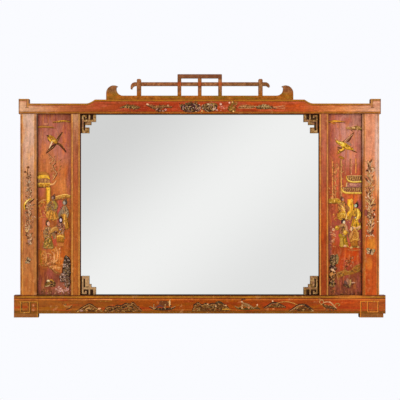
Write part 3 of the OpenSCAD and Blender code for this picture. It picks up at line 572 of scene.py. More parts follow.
# Raised ornament. The real one is built up with a brush in layers of paste, left to set, then gilded
# and painted. Each face has its own sheet of it here, a closed skin that dips under the lacquer at the
# edge of every stroke. Places are in millimetres from the face's lower left corner, or from the origin
# that a sheet is given, and colours are screen values.
PANEL_FACE, STILE_FACE, RAIL_FACE = -0.022, -0.033, -0.036
RAIL_X, FOOT_Z = 0.688, -0.418
GOLD, BRIGHT, PALE = (204, 134, 42), (240, 174, 54), (226, 174, 108)
CREAM, TAN, ORANGE = (238, 196, 150), (190, 126, 66), (212, 112, 36)
OLIVE, BROWN, DARK = (136, 98, 30), (110, 60, 26), (52, 25, 11)
LILAC, GREY, ROSE = (172, 124, 108), (138, 104, 76), (218, 136, 92)
hand = random.Random(12)


def curve(points, count=6):
    """A smooth path through a few points."""
    p = np.array([points[0], *points, points[-1]], float)
    path = []
    for a, b, c, d in zip(p, p[1:], p[2:], p[3:]):
        for t in np.arange(count) / count:
            path.append(b + 0.5 * t * (c - a + t * (2 * a - 5 * b + 4 * c - d + t * (3 * (b - c) + d - a))))
    return np.array([*path, p[-1]])


class Paste:
    """Raised and painted ornament on one face: a height and a colour at each point of a grid.

    All in millimetres: pitch is the step of the grid, tallest the height at which laid paste stops,
    and full the height to which the tallest is swelled in the end. A new stroke keeps the share piled
    of the height that is under it. Beside the strokes the skin dips under the lacquer by dip, and its
    back lies at depth. Places are counted from origin, itself given from the grid's lower left corner.
    """

    pitch = 1.0
    tallest = 2.9
    piled = 0.45
    dip = 0.5
    depth = 0.7

    def __init__(self, size, origin=(0, 0), full=2.9):
        self.full = full
        self.origin = np.array(origin, float)
        across, up = (np.arange(0, size[i] + 0.01, self.pitch) - origin[i] for i in (0, 1))
        self.x, self.z = np.meshgrid(across, up)
        self.height = np.full(self.x.shape, -1.0)
        self.paint = np.zeros((*self.x.shape, 3))
        self.gilt = np.zeros(self.x.shape)

    def window(self, points, reach):
        """The part of the grid within reach of some points."""
        low = np.floor((np.min(points, 0) + self.origin - reach) / self.pitch).astype(int).clip(0)
        high = np.ceil((np.max(points, 0) + self.origin + reach) / self.pitch).astype(int) + 1
        return slice(low[1], max(high[1], 0)), slice(low[0], max(high[0], 0))

    def lay(self, at, inside, share, colour, rise, gilt, rim):
        """Adds paste where inside, the depth in from an edge, is above 0. share is 1 on the crown."""
        if min(inside.shape) < 2:
            return
        level = hand.uniform(0.94, 1.06)
        tone = np.array(shade(*(min(255, c * level * hand.uniform(0.985, 1.015)) for c in colour))[:3])
        crown = np.where(share > 0, share * (2 - share), 2 * share)
        below = self.height[at].clip(0) * (inside > 0)
        new = rise * crown + self.piled * below
        self.height[at] = np.maximum(self.height[at], new.clip(-1, self.tallest))
        cover = (inside / 0.7 + 0.6).clip(0, 1)[..., None]
        edge = (inside / rim).clip(0, 1)
        # Painted light and shade at the edge of each stroke: darker at the lower right, lighter at the
        # upper left.
        slope_z, slope_x = np.gradient(inside, self.pitch)
        painted_rim_light_and_shade = (0.6 + 0.5 * (slope_x - slope_z)).clip(0.12, 1.15)
        tone = tone * (edge + (1 - edge) * painted_rim_light_and_shade)[..., None]
        self.paint[at] += cover * (tone - self.paint[at])
        self.gilt[at] += cover[..., 0] * (gilt - self.gilt[at])

    def stroke(self, points, widths, colour, rise=1.6, gilt=0.3, rim=0.9, smooth=True):
        """A line of paste through points, as wide as the widths say along it."""
        path = curve(points) if smooth and len(points) > 2 else np.array(points, float)
        widths = [widths] * 2 if np.isscalar(widths) else widths
        radii = np.interp(np.linspace(0, 1, len(path)), np.linspace(0, 1, len(widths)), widths) / 2
        at = self.window(path, radii.max() + 2)
        x, z = self.x[at], self.z[at]
        inside = np.full(x.shape, -9.0)
        share = np.full(x.shape, -9.0)
        for a, b, ra, rb in zip(path, path[1:], radii, radii[1:]):
            step = b - a
            t = (((x - a[0]) * step[0] + (z - a[1]) * step[1]) / max(step @ step, 1e-9)).clip(0, 1)
            r = ra + (rb - ra) * t
            gap = r - np.hypot(x - a[0] - t * step[0], z - a[1] - t * step[1])
            inside = np.maximum(inside, gap)
            share = np.maximum(share, gap / np.maximum(r, 0.3))
        self.lay(at, inside, share, colour, rise, gilt, rim)

    def disc(self, at, size, colour, rise=1.8, gilt=0.3, turn=0.0, rim=0.9):
        """A round or oval drop of paste."""
        half = np.array(size, float) / 2 if not np.isscalar(size) else np.array([size, size]) / 2
        where = self.window(np.array([at]), half.max() + 2)
        c, s = math.cos(math.radians(turn)), math.sin(math.radians(turn))
        x, z = self.x[where] - at[0], self.z[where] - at[1]
        q = np.hypot((c * x + s * z) / half[0], (c * z - s * x) / half[1])
        self.lay(where, (1 - q) * half.min(), 1 - q, colour, rise, gilt, rim)

    def area(self, outline, colour, rise=1.6, gilt=0.2, crown=4.0, rim=1.0):
        """A flat field of paste with a rounded edge, inside an outline."""
        p = np.array(outline, float)
        at = self.window(p, 3)
        x, z = self.x[at], self.z[at]
        away = np.full(x.shape, 99.0)
        odd = np.zeros(x.shape, bool)
        for a, b in zip(p, np.roll(p, -1, 0)):
            step = b - a
            t = (((x - a[0]) * step[0] + (z - a[1]) * step[1]) / max(step @ step, 1e-9)).clip(0, 1)
            away = np.minimum(away, np.hypot(x - a[0] - t * step[0], z - a[1] - t * step[1]))
            if a[1] != b[1]:
                crosses = (a[1] > z) != (b[1] > z)
                odd ^= crosses & (x < a[0] + (z - a[1]) * (b[0] - a[0]) / (b[1] - a[1]))
        inside = np.where(odd, away, -away)
        self.lay(at, inside, (inside / crown).clip(-9, 1), colour, rise, gilt, rim)

    def line(self, points, width, colour, gilt=0.2, smooth=True):
        """A thin painted line over what is there, hardly raised."""
        self.stroke(points, width, colour, 0.35, gilt, 0.4, smooth)

    def unfold(self, mesh, faces, place, fronts):
        """Lays the skin out flat in strips, the front ones below and the back ones above, for baking."""
        flat = place[:, [0, 2]] - place[:, [0, 2]].min(0)
        flat = flat if np.ptp(flat[:, 0]) > np.ptp(flat[:, 1]) else flat[:, ::-1]
        size = flat.max(0)
        strips = max(1, round((size[0] / (2 * size[1])) ** 0.5))
        pace = size[0] / strips
        strip = (flat[faces].mean(1)[:, 0] // pace).clip(0, strips - 1)
        row = strip + strips * (np.arange(len(faces)) >= fronts)
        along = 0.01 + 0.98 * (flat[faces][:, :, 0] - strip[:, None] * pace) / pace
        up = (row[:, None] + 0.02 + 0.96 * flat[faces][:, :, 1] / size[1]) / (2 * strips)
        spots = np.stack([along, up], 2).clip(0, 1).astype(np.float32)
        mesh.uv_layers.new(name="OFBake").uv.foreach_set("vector", spots.ravel())

    def piece(self, name, corner, face, node):
        """The ornament as a mesh, put on a face that looks forward, in place of its plain CAD node."""
        body = self.height > 0
        keep = body[:-1, :-1] | body[1:, :-1] | body[:-1, 1:] | body[1:, 1:]
        rows, columns = np.nonzero(keep)
        wide = self.x.shape[1]
        first = rows * wide + columns
        quads = np.stack([first, first + 1, first + 1 + wide, first + wide], 1)
        used, quads = np.unique(quads, return_inverse=True)
        quads = quads.reshape(-1, 4)
        lift = self.height.ravel()[used].clip(-self.dip)
        swell = (lift.clip(0) / self.tallest) ** 1.5
        lift = lift + (self.full - self.tallest) * swell
        x, z = self.x.ravel()[used] + self.origin[0], self.z.ravel()[used] + self.origin[1]
        place = np.stack([x, -lift, z], 1)
        under = place.copy()
        under[:, 1] = self.depth
        place = np.concatenate([place, under]) / 1000 + (corner[0], face, corner[1])
        count = len(used)
        sides = np.concatenate([quads[:, [i, (i + 1) % 4]] for i in range(4)])
        keys = np.sort(sides, 1) @ np.array([count, 1])
        _, index, times = np.unique(keys, return_index=True, return_counts=True)
        rim = sides[index[times == 1]]
        walls = np.stack([rim[:, 1], rim[:, 0], rim[:, 0] + count, rim[:, 1] + count], 1)
        faces = np.concatenate([quads, quads[:, ::-1] + count, walls])
        mesh = bpy.data.meshes.new(name)
        mesh.from_pydata(place.tolist(), [], faces.tolist())
        colour = np.ones((2 * count, 4), np.float32)
        colour[:, :3] = np.tile(self.paint.reshape(-1, 3)[used], (2, 1))
        mesh.attributes.new("paint", "FLOAT_COLOR", "POINT").data.foreach_set("color", colour.ravel())
        gilt = np.tile(self.gilt.ravel()[used], 2).astype(np.float32)
        mesh.attributes.new("gilt", "FLOAT", "POINT").data.foreach_set("value", gilt)
        mesh.polygons.foreach_set("use_smooth", np.arange(len(faces)) < len(quads))
        self.unfold(mesh, faces, place, len(quads))
        mesh.materials.append(paste_finish)
        made = add(name, mesh)
        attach(made, "frame")
        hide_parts(node)


paste_finish, paste_place = begin("gilded_paste")
painted = paste_place.node("Attribute", {"attribute_name": "paint"}, give="Color")
leaf_amount = paste_place.node("Attribute", {"attribute_name": "gilt"}, give="Fac")
brushed = paste_place.noise(200.0, 4.0, 0.6, (1.5, 1, 0.6))
painted = painted.times(0.34 + 1.3 * brushed)
lost = paste_place.noise(120.0, 3.0, 0.6).rise(0.54, 0.68) * 0.4
painted = lost.over(painted, (104, 54, 24))
lit = paste_place.noise(150.0, 3.0, 0.6).rise(0.56, 0.68) * 0.3
painted = lit.over(painted, (240, 188, 104))
end(
    paste_finish, painted, 0.5 - 0.16 * leaf_amount + 0.14 * brushed, brushed, 0.0003, 0.5 * leaf_amount,
    gloss=0.12,
)

# Motifs that come back on the faces: clouds, flecks of colour, thickets and sprays of leaves, blossoms,
# robed people, roofs, bushes and moths. All are drawn with strokes, drops and fields of paste.


def cloud(sheet, points, widths, colour=GOLD, light=BRIGHT):
    """A drifting streak of gold, with a highlight painted along its crest and shade painted under it."""
    # Shade painted as a dark line under the streak.
    sheet.line([(x, z - 0.45 * max(widths)) for x, z in points], 1.8, BROWN)
    sheet.stroke(points, widths, colour, 1.2, 0.7, 1.8)
    # A highlight painted as a brighter line along the crest.
    crest = [(x, z + 0.12 * max(widths)) for x, z in points[1:-1]]
    sheet.line(crest if len(crest) > 1 else points, 0.35 * max(widths), light, 0.8)


def flecks(sheet, points, spread, count, tones, seed, size=2.6):
    """Small touches of colour scattered along a path."""
    draw = random.Random(seed)
    path = curve(points)
    for i in range(count):
        at = path[draw.randrange(len(path))] + (draw.gauss(0, spread), draw.gauss(0, spread))
        way = draw.uniform(0, math.pi)
        step = np.array([math.cos(way), math.sin(way)]) * size * draw.uniform(0.2, 0.9)
        sheet.line(
            [at - step, at + step], size * draw.uniform(0.5, 0.9), tones[i % len(tones)], 0.4, smooth=False,
        )


def thicket(sheet, points, half, count, long, wide, tones, seed, lean=(0.3, 1.3), bark=BROWN):
    """Leaves crowded along a stem, most of them in its middle part."""
    draw = random.Random(seed)
    path = curve(points, 8)
    sheet.stroke(path, [3.0, 2.2], bark, 1.4, 0.2, smooth=False)
    for i in range(count):
        share = draw.uniform(0.0, 1.0)
        a = path[int(share * (len(path) - 2))]
        b = path[int(share * (len(path) - 2)) + 1]
        room = half * (0.35 + 0.65 * math.sin(math.pi * (0.1 + 0.8 * share)))
        side = draw.choice((-1, 1))
        way = math.atan2(b[1] - a[1], b[0] - a[0]) + side * draw.uniform(*lean)
        reach = long * draw.uniform(0.6, 1.15)
        away = max(0.0, room - reach * abs(math.sin(draw.uniform(*lean)))) * draw.uniform(0, 1) * side
        root = np.array([a[0] - away * math.sin(way - side), a[1] + 0.3 * away * math.cos(way)])
        tip = root + (reach * math.cos(way), reach * math.sin(way))
        bend = (root + tip) / 2 + (draw.uniform(-0.12, 0.12) * reach, draw.uniform(-0.12, 0.12) * reach)
        tone = tones[i % len(tones)]
        sheet.stroke([root, bend, tip], [1.0, wide * draw.uniform(0.8, 1.2), 0.8], tone, 1.5, 0.35, 0.8)
        if wide > 3.6:
            sheet.line([root, bend, tip], 0.8, DARK)


def blossom(sheet, at, size, petal, heart=BROWN):
    """Five petals round a dark heart."""
    for i in range(5):
        a = math.radians(72 * i + 20)
        place = (at[0] + 0.3 * size * math.cos(a), at[1] + 0.3 * size * math.sin(a))
        sheet.disc(place, 0.46 * size, petal, 1.2, 0.2, 0, 0.8)
    sheet.disc(at, 0.28 * size, heart, 0.8, 0.2)


def spray(sheet, points, width, leaves, colours, flowers, bark, seed, reach):
    """A stem with leaves to both sides, and blossoms at given shares of its length."""
    draw = random.Random(seed)
    path = curve(points, 8)
    sheet.stroke(path, [width, width * 0.6], bark, 1.3, 0.2, smooth=False)
    for i in range(leaves):
        t = (i + 0.5) / leaves * (len(path) - 1)
        a, b = path[int(t)], path[min(int(t) + 1, len(path) - 1)]
        turn = math.atan2(b[1] - a[1], b[0] - a[0]) + (1 if i % 2 else -1) * draw.uniform(0.6, 1.0)
        long = reach * draw.uniform(7, 10.5)
        tip = (a[0] + long * math.cos(turn), a[1] + long * math.sin(turn))
        leaf = colours[i % len(colours)]
        sheet.stroke([a, (a + tip) / 2 + (0.6, 0.6), tip], [1.2, 4.4 * reach, 0.8], leaf, 1.7, 0.4)
        sheet.line([a, tip], 0.8, DARK, 0.0)
    for share, size, tone in flowers:
        blossom(sheet, path[int(share * (len(path) - 1))], size, tone)


def tint(colour, amount):
    """The same colour, lighter above 1 and darker below."""
    return tuple(min(255, amount * c) for c in colour)


def person(sheet, x, z, tall, robe, skirt, trim, look, wide, hair, face, sash):
    """A robed figure on its hem: bell of a skirt, hanging sleeves, sash, small head and dressed hair."""
    u = tall / 10
    w = u * wide

    def at(a, b):
        return x + a * w * look, z + b * u

    def put(*places):
        return [at(a, b) for a, b in places]

    sheet.area(
        put((0.6, 7.5), (1.5, 6.7), (2.4, 5.6), (2.7, 4.8), (2.4, 3.5), (1.8, 3.3), (1.5, 4.6), (0.8, 5.6)),
        robe, 1.8, 0.3, 3,
    )
    sheet.line(put((2.7, 4.8), (2.5, 3.7), (1.8, 3.3)), 1.8, trim, 0.6)
    bell = put(
        (-1.9, 0.4), (-1.0, -0.2), (0.4, 0.0), (1.6, -0.2), (2.0, 0.5), (1.5, 2.4), (1.0, 4.7), (-1.0, 4.7),
        (-1.5, 2.4),
    )
    sheet.area(bell, skirt, 2.2, 0.6, 3.5)
    # Folds of the skirt, painted in darker lines as shade and lighter lines as highlights.
    for a, fold_light_and_shade in ((-1.0, 0.6), (-0.5, 1.25), (0.0, 0.7), (0.5, 1.3), (1.0, 0.62)):
        sheet.line(put((a * 1.4, 0.5), (a * 1.1, 2.0), (a * 0.8, 4.2)), 2.2, tint(skirt, fold_light_and_shade), 0.5)
    sheet.line(put((-1.7, 0.5), (-0.4, 0.2), (0.8, 0.25), (1.8, 0.6)), 2.0, trim, 0.6)
    sheet.area(
        put(
            (-1.2, 3.6), (1.1, 3.8), (1.0, 5.6), (1.15, 7.2), (0.4, 7.8), (-0.4, 7.8), (-1.1, 7.3),
            (-1.0, 5.4),
        ),
        robe, 2.3, 0.3, 3,
    )
    sheet.area(
        put(
            (-0.7, 7.3), (-1.5, 6.6), (-1.9, 5.4), (-1.5, 4.0), (-0.8, 2.8), (-0.1, 3.2), (0.2, 4.5),
            (-0.5, 5.6),
        ),
        tint(robe, 1.08), 2.4, 0.3, 2.5,
    )
    sheet.line(put((-1.5, 4.0), (-0.8, 2.9), (-0.1, 3.3)), 1.8, trim, 0.6)
    # Lighter and darker lines of the robe's colour on sleeve and body, painted as highlights and shade.
    sheet.line(put((-1.3, 6.4), (-1.5, 5.4), (-1.1, 4.2)), 2.4, tint(robe, 1.3), 0.3)
    sheet.line(put((-0.2, 7.2), (-0.3, 5.8), (0.0, 4.8)), 1.6, tint(robe, 0.55))
    sheet.line(put((0.8, 7.0), (0.8, 5.8), (0.7, 5.0)), 2.0, tint(robe, 1.3), 0.3)
    sheet.stroke(put((-0.2, 4.6), (0.5, 4.4), (1.1, 4.7)), 0.55 * u, sash, 1.0, 0.4, 0.6)
    sheet.line(put((0.5, 4.2), (0.7, 2.8), (0.5, 1.4)), 1.8, sash, 0.5)
    sheet.line(put((0.4, 7.7), (0.0, 6.4), (-0.2, 5.4)), 1.8, trim, 0.5)
    worn = (DARK, tint(robe, 1.35), trim, BROWN, tint(robe, 0.7), ORANGE, tint(robe, 0.5))
    flecks(sheet, put((-0.6, 7.0), (-0.2, 5.6), (0.2, 4.2)), 0.9 * w, 42, worn, int(x), 2.7)
    worn = (tint(skirt, 0.45), tint(skirt, 1.25), OLIVE, tint(skirt, 0.7), trim, ORANGE)
    flecks(sheet, put((0.0, 3.8), (0.0, 0.8)), 0.9 * w, 38, worn, int(z), 2.7)
    sheet.disc(at(-0.15, 8.85), (1.6 * u, 1.8 * u), hair, 2.0, 0.05)
    sheet.disc(at(0.15, 8.65), (0.9 * u, 1.2 * u), face, 1.5, 0.0, 0, 0.5)
    sheet.disc(at(-0.4, 9.8), (0.9 * u, 0.8 * u), hair, 1.6, 0.05)
    sheet.line(put((-0.8, 9.6), (-0.1, 10.0)), 0.9, GOLD, 0.9)
    sheet.disc(at(0.2, 4.3), 0.45 * u, face, 1.2, 0.0)


def pavilion_roof(sheet, rim, widths, tiles, top, seed):
    """A tiled roof that runs off the side of the panel, with its gilded eave curling up at the free end."""
    sheet.area([*rim, (rim[-1][0], top), (rim[0][0] + 3, top)], tiles, 1.5, 0.2, 3.0)
    draw = random.Random(seed)
    left_x, right_x = sorted((rim[0][0], rim[-1][0]))
    for i in range(int((right_x - left_x) / 4)):
        x = left_x + 6 + 4 * i
        z = rim[-1][1] + widths[-1] / 2 + 2
        sheet.line(
            [(x, z), (x + 2.5, (z + top) / 2), (x + 1, top - 2)], 1.8,
            ((190, 132, 64), (66, 34, 22))[i % 2], 0.4,
        )
        sheet.disc((x, draw.uniform(z, top)), 2.4, (224, 172, 96), 0.8, 0.4)
    sheet.stroke([(rim[0][0] + 5, top), (rim[-1][0], top)], 2.8, PALE, 1.6, 0.6, 0.8)
    # A dark stroke under the eave painted as its shadow; a bright line along the eave painted as a
    # highlight.
    sheet.stroke([(x, z - 2.5) for x, z in rim[1:]], 2.4, (96, 48, 12), 0.8, 0.1)
    sheet.stroke(rim, widths, (240, 176, 50), 2.3, 0.6, 1.2)
    sheet.line([(x, z + 0.8) for x, z in rim[1:]], 2.4, (255, 212, 104), 0.6)


GOLDEN_TURN = 2.39996


def bush(sheet, at, size, mass, dots, count, dot, seed):
    """A rounded bush or flower ball: a dark mass dotted with blossom."""
    draw = random.Random(seed)
    edge = []
    for i in range(28):
        a = 2 * math.pi * i / 28
        swell = 1 + 0.09 * math.sin(5 * a + seed) + draw.uniform(-0.05, 0.05)
        edge.append((at[0] + size[0] / 2 * swell * math.cos(a), at[1] + size[1] / 2 * swell * math.sin(a)))
    sheet.area(edge, mass, 2.0, 0.1, 5.0)
    for i in range(count):
        r = math.sqrt((i + 0.5) / count) * 0.94
        a = i * GOLDEN_TURN
        x = at[0] + size[0] / 2 * r * math.cos(a) + draw.uniform(-0.8, 0.8)
        z = at[1] + size[1] / 2 * r * math.sin(a) + draw.uniform(-0.8, 0.8)
        sheet.disc((x, z), dot * draw.uniform(0.75, 1.15), dots[draw.randrange(len(dots))], 1.0)


def moth(sheet, at, size, wing, light, turn=0):
    """A butterfly: two pairs of wings, body and feelers."""
    c, s = math.cos(math.radians(turn)), math.sin(math.radians(turn))

    def put(a, b):
        return at[0] + size * (a * c - b * s), at[1] + size * (a * s + b * c)

    for side in (-1, 1):
        sheet.disc(put(0.26 * side, 0.14), (0.56 * size, 0.4 * size), wing, 1.8, 0.4, turn + 28 * side, 1.6)
        sheet.disc(
            put(0.2 * side, -0.16), (0.4 * size, 0.32 * size), light, 1.6, 0.3, turn - 30 * side, 1.6,
        )
        sheet.line([put(0.08 * side, 0.05), put(0.42 * side, 0.26)], 1.4, DARK)
        sheet.line([put(0.06 * side, -0.08), put(0.32 * side, -0.2)], 1.2, BROWN)
        sheet.line([put(0.02 * side, 0.2), put(0.14 * side, 0.48)], 1.0, DARK)
    flecks(sheet, [put(-0.3, 0.1), put(0.3, 0.1)], 0.12 * size, 9, (OLIVE, DARK, PALE), int(at[1]))
    sheet.stroke([put(0, -0.28), put(0, 0.22)], 0.14 * size, DARK, 1.4, 0.1)


# Left panel: clouds, a crane over a twisted branch, a pavilion, four robed people with a table, and
# a garden with flowering bushes and a songbird.
left = Paste((125, 672), (-0.2, 0), full=4.9)
# Clouds
cloud(left, [(56, 643), (78, 645), (98, 647), (120, 644)], [2, 6, 7, 3])
cloud(left, [(2, 624), (18, 626), (38, 625), (62, 623)], [6, 8, 6, 2], GOLD, TAN)
left.line([(22, 636), (30, 635), (36, 636)], 4, ROSE)
flecks(left, [(66, 640), (112, 648)], 2, 10, (BROWN, OLIVE, TAN), 2)
# Crane in flight: wings, body and tail
left.stroke([(66, 566), (78, 584), (91, 605)], [10, 9, 3], (84, 44, 20), 1.8, 0.1)
left.line([(72, 572), (82, 585), (94, 603)], 1.3, TAN)
left.line([(66, 574), (76, 590), (86, 606)], 1.2, TAN)
left.stroke([(67, 562), (54, 549), (42, 538), (32, 527)], [9, 12, 9, 3], (72, 34, 16), 1.8, 0.1)
left.line([(60, 552), (48, 542), (36, 533)], 1.2, TAN)
left.stroke([(68, 566), (84, 557), (94, 546), (105, 531)], [7, 9, 8, 3], (84, 42, 18), 1.8, 0.1)
left.line([(74, 567), (88, 560), (98, 546)], 1.5, TAN)
left.stroke([(40, 588), (47, 583), (56, 577), (68, 568)], [9, 22, 22, 12], (202, 134, 36), 2.6, 0.9, 1.6)
left.stroke([(44, 576), (54, 572), (66, 574)], [6, 9, 6], BRIGHT, 0.9, 1.0, 0.8)
left.disc((52, 583), (13, 8), (160, 98, 18), 0.8, 0.6, -20)
flecks(left, [(44, 584), (64, 570)], 4, 12, (OLIVE, BROWN, BRIGHT, PALE), 5, 3)
left.stroke([(40, 590), (37, 592), (32, 592)], [5, 4, 1.2], DARK, 1.6, 0.1)
left.stroke([(53, 568), (48, 557), (43, 546)], [6, 6, 3], (240, 204, 150), 1.4, 0.1)
left.line([(38, 577), (42, 572)], 3.4, DARK)
# Twisted branch below it
left.stroke(
    [(57, 428), (65, 440), (71, 452), (61, 466), (56, 480), (66, 492), (61, 502), (50, 512), (40, 524)],
    [4.5, 5, 4, 3], (104, 62, 26), 1.2, 0.1,
)
left.stroke(
    [(56, 428), (64, 441), (70, 453), (60, 467), (55, 481), (65, 493), (60, 503), (49, 513), (39, 525)],
    [3.4, 4, 3, 2], (224, 156, 104), 1.8,
)
for root, tip in (
    ((66, 492), (84, 500)), ((70, 452), (82, 466)), ((82, 466), (85, 478)), ((56, 480), (46, 488)),
    ((61, 502), (62, 514)), ((62, 464), (52, 460)), ((50, 512), (44, 506)), ((57, 474), (66, 474)),
    ((66, 443), (58, 448)),
):
    left.line([root, tip], 2.2, TAN, 0.3)
    left.stroke([tip, (tip[0] + 4, tip[1] + 3)], [4, 1], (150, 96, 44), 1.2)
flecks(
    left, [(60, 440), (58, 480), (44, 515)], 6, 24, ((210, 150, 100), (150, 90, 44), PALE, (170, 110, 50)),
    7, 3,
)
# Pavilion at the edge, with its two eaves, post and curtain
left.stroke([(0, 450), (16, 453), (33, 449), (44, 440)], [9, 12, 11, 6], (166, 106, 40), 1.0, 0.3, 2.0)
left.area([(0, 414), (48, 414), (45, 424), (40, 434), (0, 434)], (156, 98, 58), 1.2, 0.2, 3)
for i in range(10):
    left.line(
        [(3 + 4.4 * i, 417), (4 + 4.4 * i, 429)], 1.9,
        ((214, 150, 90), (116, 68, 44), (196, 138, 60))[i % 3], 0.3,
    )
left.stroke([(0, 438), (17, 440), (33, 439), (44, 432)], [12, 14, 11, 5], (244, 182, 52), 2.5, 0.7, 1.6)
left.stroke([(0, 409), (26, 409), (50, 411)], [15, 15, 10], (204, 140, 38), 2.2, 0.6, 2.4)
# A bright line along the lower eave, painted as a highlight.
left.line([(0, 414), (24, 415), (46, 415)], 3.0, (236, 176, 64), 0.8)
flecks(left, [(2, 408), (44, 409)], 3, 14, ((160, 104, 28), (232, 176, 80), (140, 84, 30)), 15, 3)
flecks(left, [(4, 440), (38, 438)], 4, 12, ((206, 140, 40), (255, 210, 96), (180, 116, 36)), 16, 3)
left.stroke([(49, 410), (57, 412), (63, 417), (68, 425)], [7, 7, 6, 3], (226, 164, 100), 1.8, 0.4)
# A dark line under the lower eave, painted as its shadow.
left.line([(0, 400), (26, 400), (50, 402)], 2.6, (92, 48, 10))
left.area([(31, 292), (46, 292), (46.5, 400), (30.5, 400)], (232, 170, 44), 1.8, 0.7)
left.area([(30, 288), (46, 286), (47, 338), (31, 346)], (208, 140, 54), 1.5, 0.4, 5)
left.line([(34, 310), (34, 394)], 2.0, (150, 92, 20))
left.line([(42, 330), (42, 396)], 4.0, (246, 188, 64), 0.8)
left.line([(49, 330), (49, 398)], 2.4, (128, 72, 10))
flecks(left, [(38, 292), (39, 350)], 3, 16, ((180, 112, 36), (232, 176, 90), (150, 88, 30)), 11, 3.4)
# Terrace and shrubs behind the people
left.stroke([(58, 356), (76, 362), (98, 367), (121, 364)], [10, 12, 12, 8], (200, 138, 46), 1.9, 0.5, 2.4)
# A bright line painted along the terrace's top as a highlight, and a dark one under it as shade.
left.line([(62, 363), (80, 369), (102, 374), (120, 369)], 3.0, (238, 184, 96), 0.7)
left.line([(62, 350), (86, 355), (112, 358)], 2.4, (120, 66, 16))
flecks(
    left, [(64, 358), (116, 366)], 3.5, 26, ((140, 96, 36), (232, 174, 84), TAN, (170, 104, 40)), 12, 3.4,
)
left.stroke([(3, 342), (12, 349), (22, 353), (32, 352)], [4, 5, 5, 3], (222, 150, 84), 1.5, 0.4)
flecks(left, [(6, 332), (24, 344)], 4, 20, ((196, 130, 50), GOLD, (150, 92, 36)), 13, 4)
flecks(left, [(12, 290), (16, 320)], 6, 20, ((206, 130, 50), (222, 140, 80), (176, 100, 40)), 14, 5)
# Four people round a table
person(
    left, 57, 279, 94, (128, 94, 64), (188, 122, 42), (196, 140, 60), -1, 1.1, (84, 46, 44), (158, 118, 96),
    (150, 120, 40),
)
left.stroke([(62, 346), (68, 336), (66, 322)], [8, 9, 6], (150, 122, 44), 1.6, 0.4)
person(
    left, 100, 245, 112, (146, 116, 84), (206, 138, 40), (180, 126, 70), -1, 0.82, (84, 66, 56),
    (176, 160, 140), (190, 140, 60),
)
left.area([(86, 246), (114, 246), (116, 262), (106, 300), (94, 302)], (184, 118, 34), 2.2, 0.6, 5)
left.line([(100, 250), (101, 296)], 3.0, (244, 184, 80), 0.6)
left.line([(108, 254), (105, 290)], 2.4, (150, 92, 24), 0.4)
person(
    left, 86, 206, 86, (138, 80, 56), (176, 116, 44), (214, 160, 130), -1, 1.05, (44, 22, 24),
    (222, 198, 204), (150, 96, 70),
)
left.disc((86, 279), (17, 25), (54, 28, 30), 1.9, 0.05, 0, 1.4)
left.disc((86, 278), (8.5, 12.5), (224, 200, 208), 1.2, 0.0, 0, 0.6)
person(
    left, 39, 172, 106, (140, 98, 62), (152, 114, 44), (206, 156, 100), 1, 1.0, (70, 38, 26),
    (226, 158, 124), (200, 146, 60),
)
left.disc((40, 264), (10, 17), (226, 160, 128), 1.4, 0.0, 0, 0.8)
for i in range(5):
    for j in range(3):
        tone = ((86, 62, 24), (214, 160, 70), (120, 92, 30))[(i + j) % 3]
        left.line([(28 + 8 * j, 182 + 9 * i), (33 + 8 * j, 185 + 9 * i)], 3.0, tone)
left.stroke([(50, 234), (58, 243), (66, 246), (74, 240)], [12, 16, 15, 8], (192, 130, 58), 2.0, 0.5, 2.0)
left.line([(52, 240), (60, 250), (70, 251)], 2.4, (232, 172, 96), 0.5)
left.line([(50, 228), (60, 234), (72, 232)], 2.2, (60, 34, 16))
left.disc((70, 231), (7, 6), DARK, 1.2, 0.1)
left.area([(70, 195), (98, 195), (99, 214), (92, 222), (76, 222), (70, 214)], (178, 114, 28), 2.0, 0.7, 5)
left.line([(72, 217), (84, 220), (97, 216)], 2.6, (246, 190, 80), 0.8)
left.line([(70, 200), (98, 200)], 2.4, (140, 86, 20), 0.3)
for i in range(3):
    left.line([(77 + 8 * i, 203), (78 + 8 * i, 214)], 2.2, (160, 104, 26))
left.area([(74, 180), (96, 180), (98, 193), (72, 193)], (206, 118, 50), 1.0, 0.1)
# Rail of the terrace, with plants on its slope
left.stroke(
    [(12, 164), (11, 148), (13, 130), (13, 118), (17, 109)], [4, 6, 6, 5, 3], (164, 112, 16), 1.4, 0.5,
)
left.stroke(
    [(17, 109), (26, 112), (38, 111), (48, 104), (58, 94), (68, 85), (82, 80)], [3, 4, 6, 6, 6, 6, 3],
    (166, 106, 50), 1.6, 0.5,
)
left.line([(20, 105), (36, 105), (48, 97), (58, 87), (70, 80)], 2.4, (122, 66, 10))
flecks(
    left, [(50, 150), (54, 125), (60, 108)], 8, 46,
    ((206, 132, 76), (160, 92, 34), (190, 120, 46), (222, 150, 96), (132, 72, 26)), 17, 6,
)
flecks(
    left, [(76, 170), (74, 135), (78, 100)], 8, 40,
    ((212, 134, 60), (156, 82, 26), (190, 110, 40), (222, 150, 88)), 19, 7,
)
flecks(
    left, [(20, 165), (28, 145), (24, 122)], 7, 30, ((206, 132, 74), (156, 88, 30), (184, 108, 40)), 23, 7,
)
for x, foot, top, tone in (
    (72, 128, 172, (230, 146, 80)), (80, 116, 168, (214, 126, 50)), (60, 118, 158, (232, 160, 100)),
    (30, 120, 160, (222, 146, 78)),
):
    left.stroke([(x, foot), (x + 2, (foot + top) / 2), (x, top)], [3, 6, 2], tone, 1.0, 0.2)
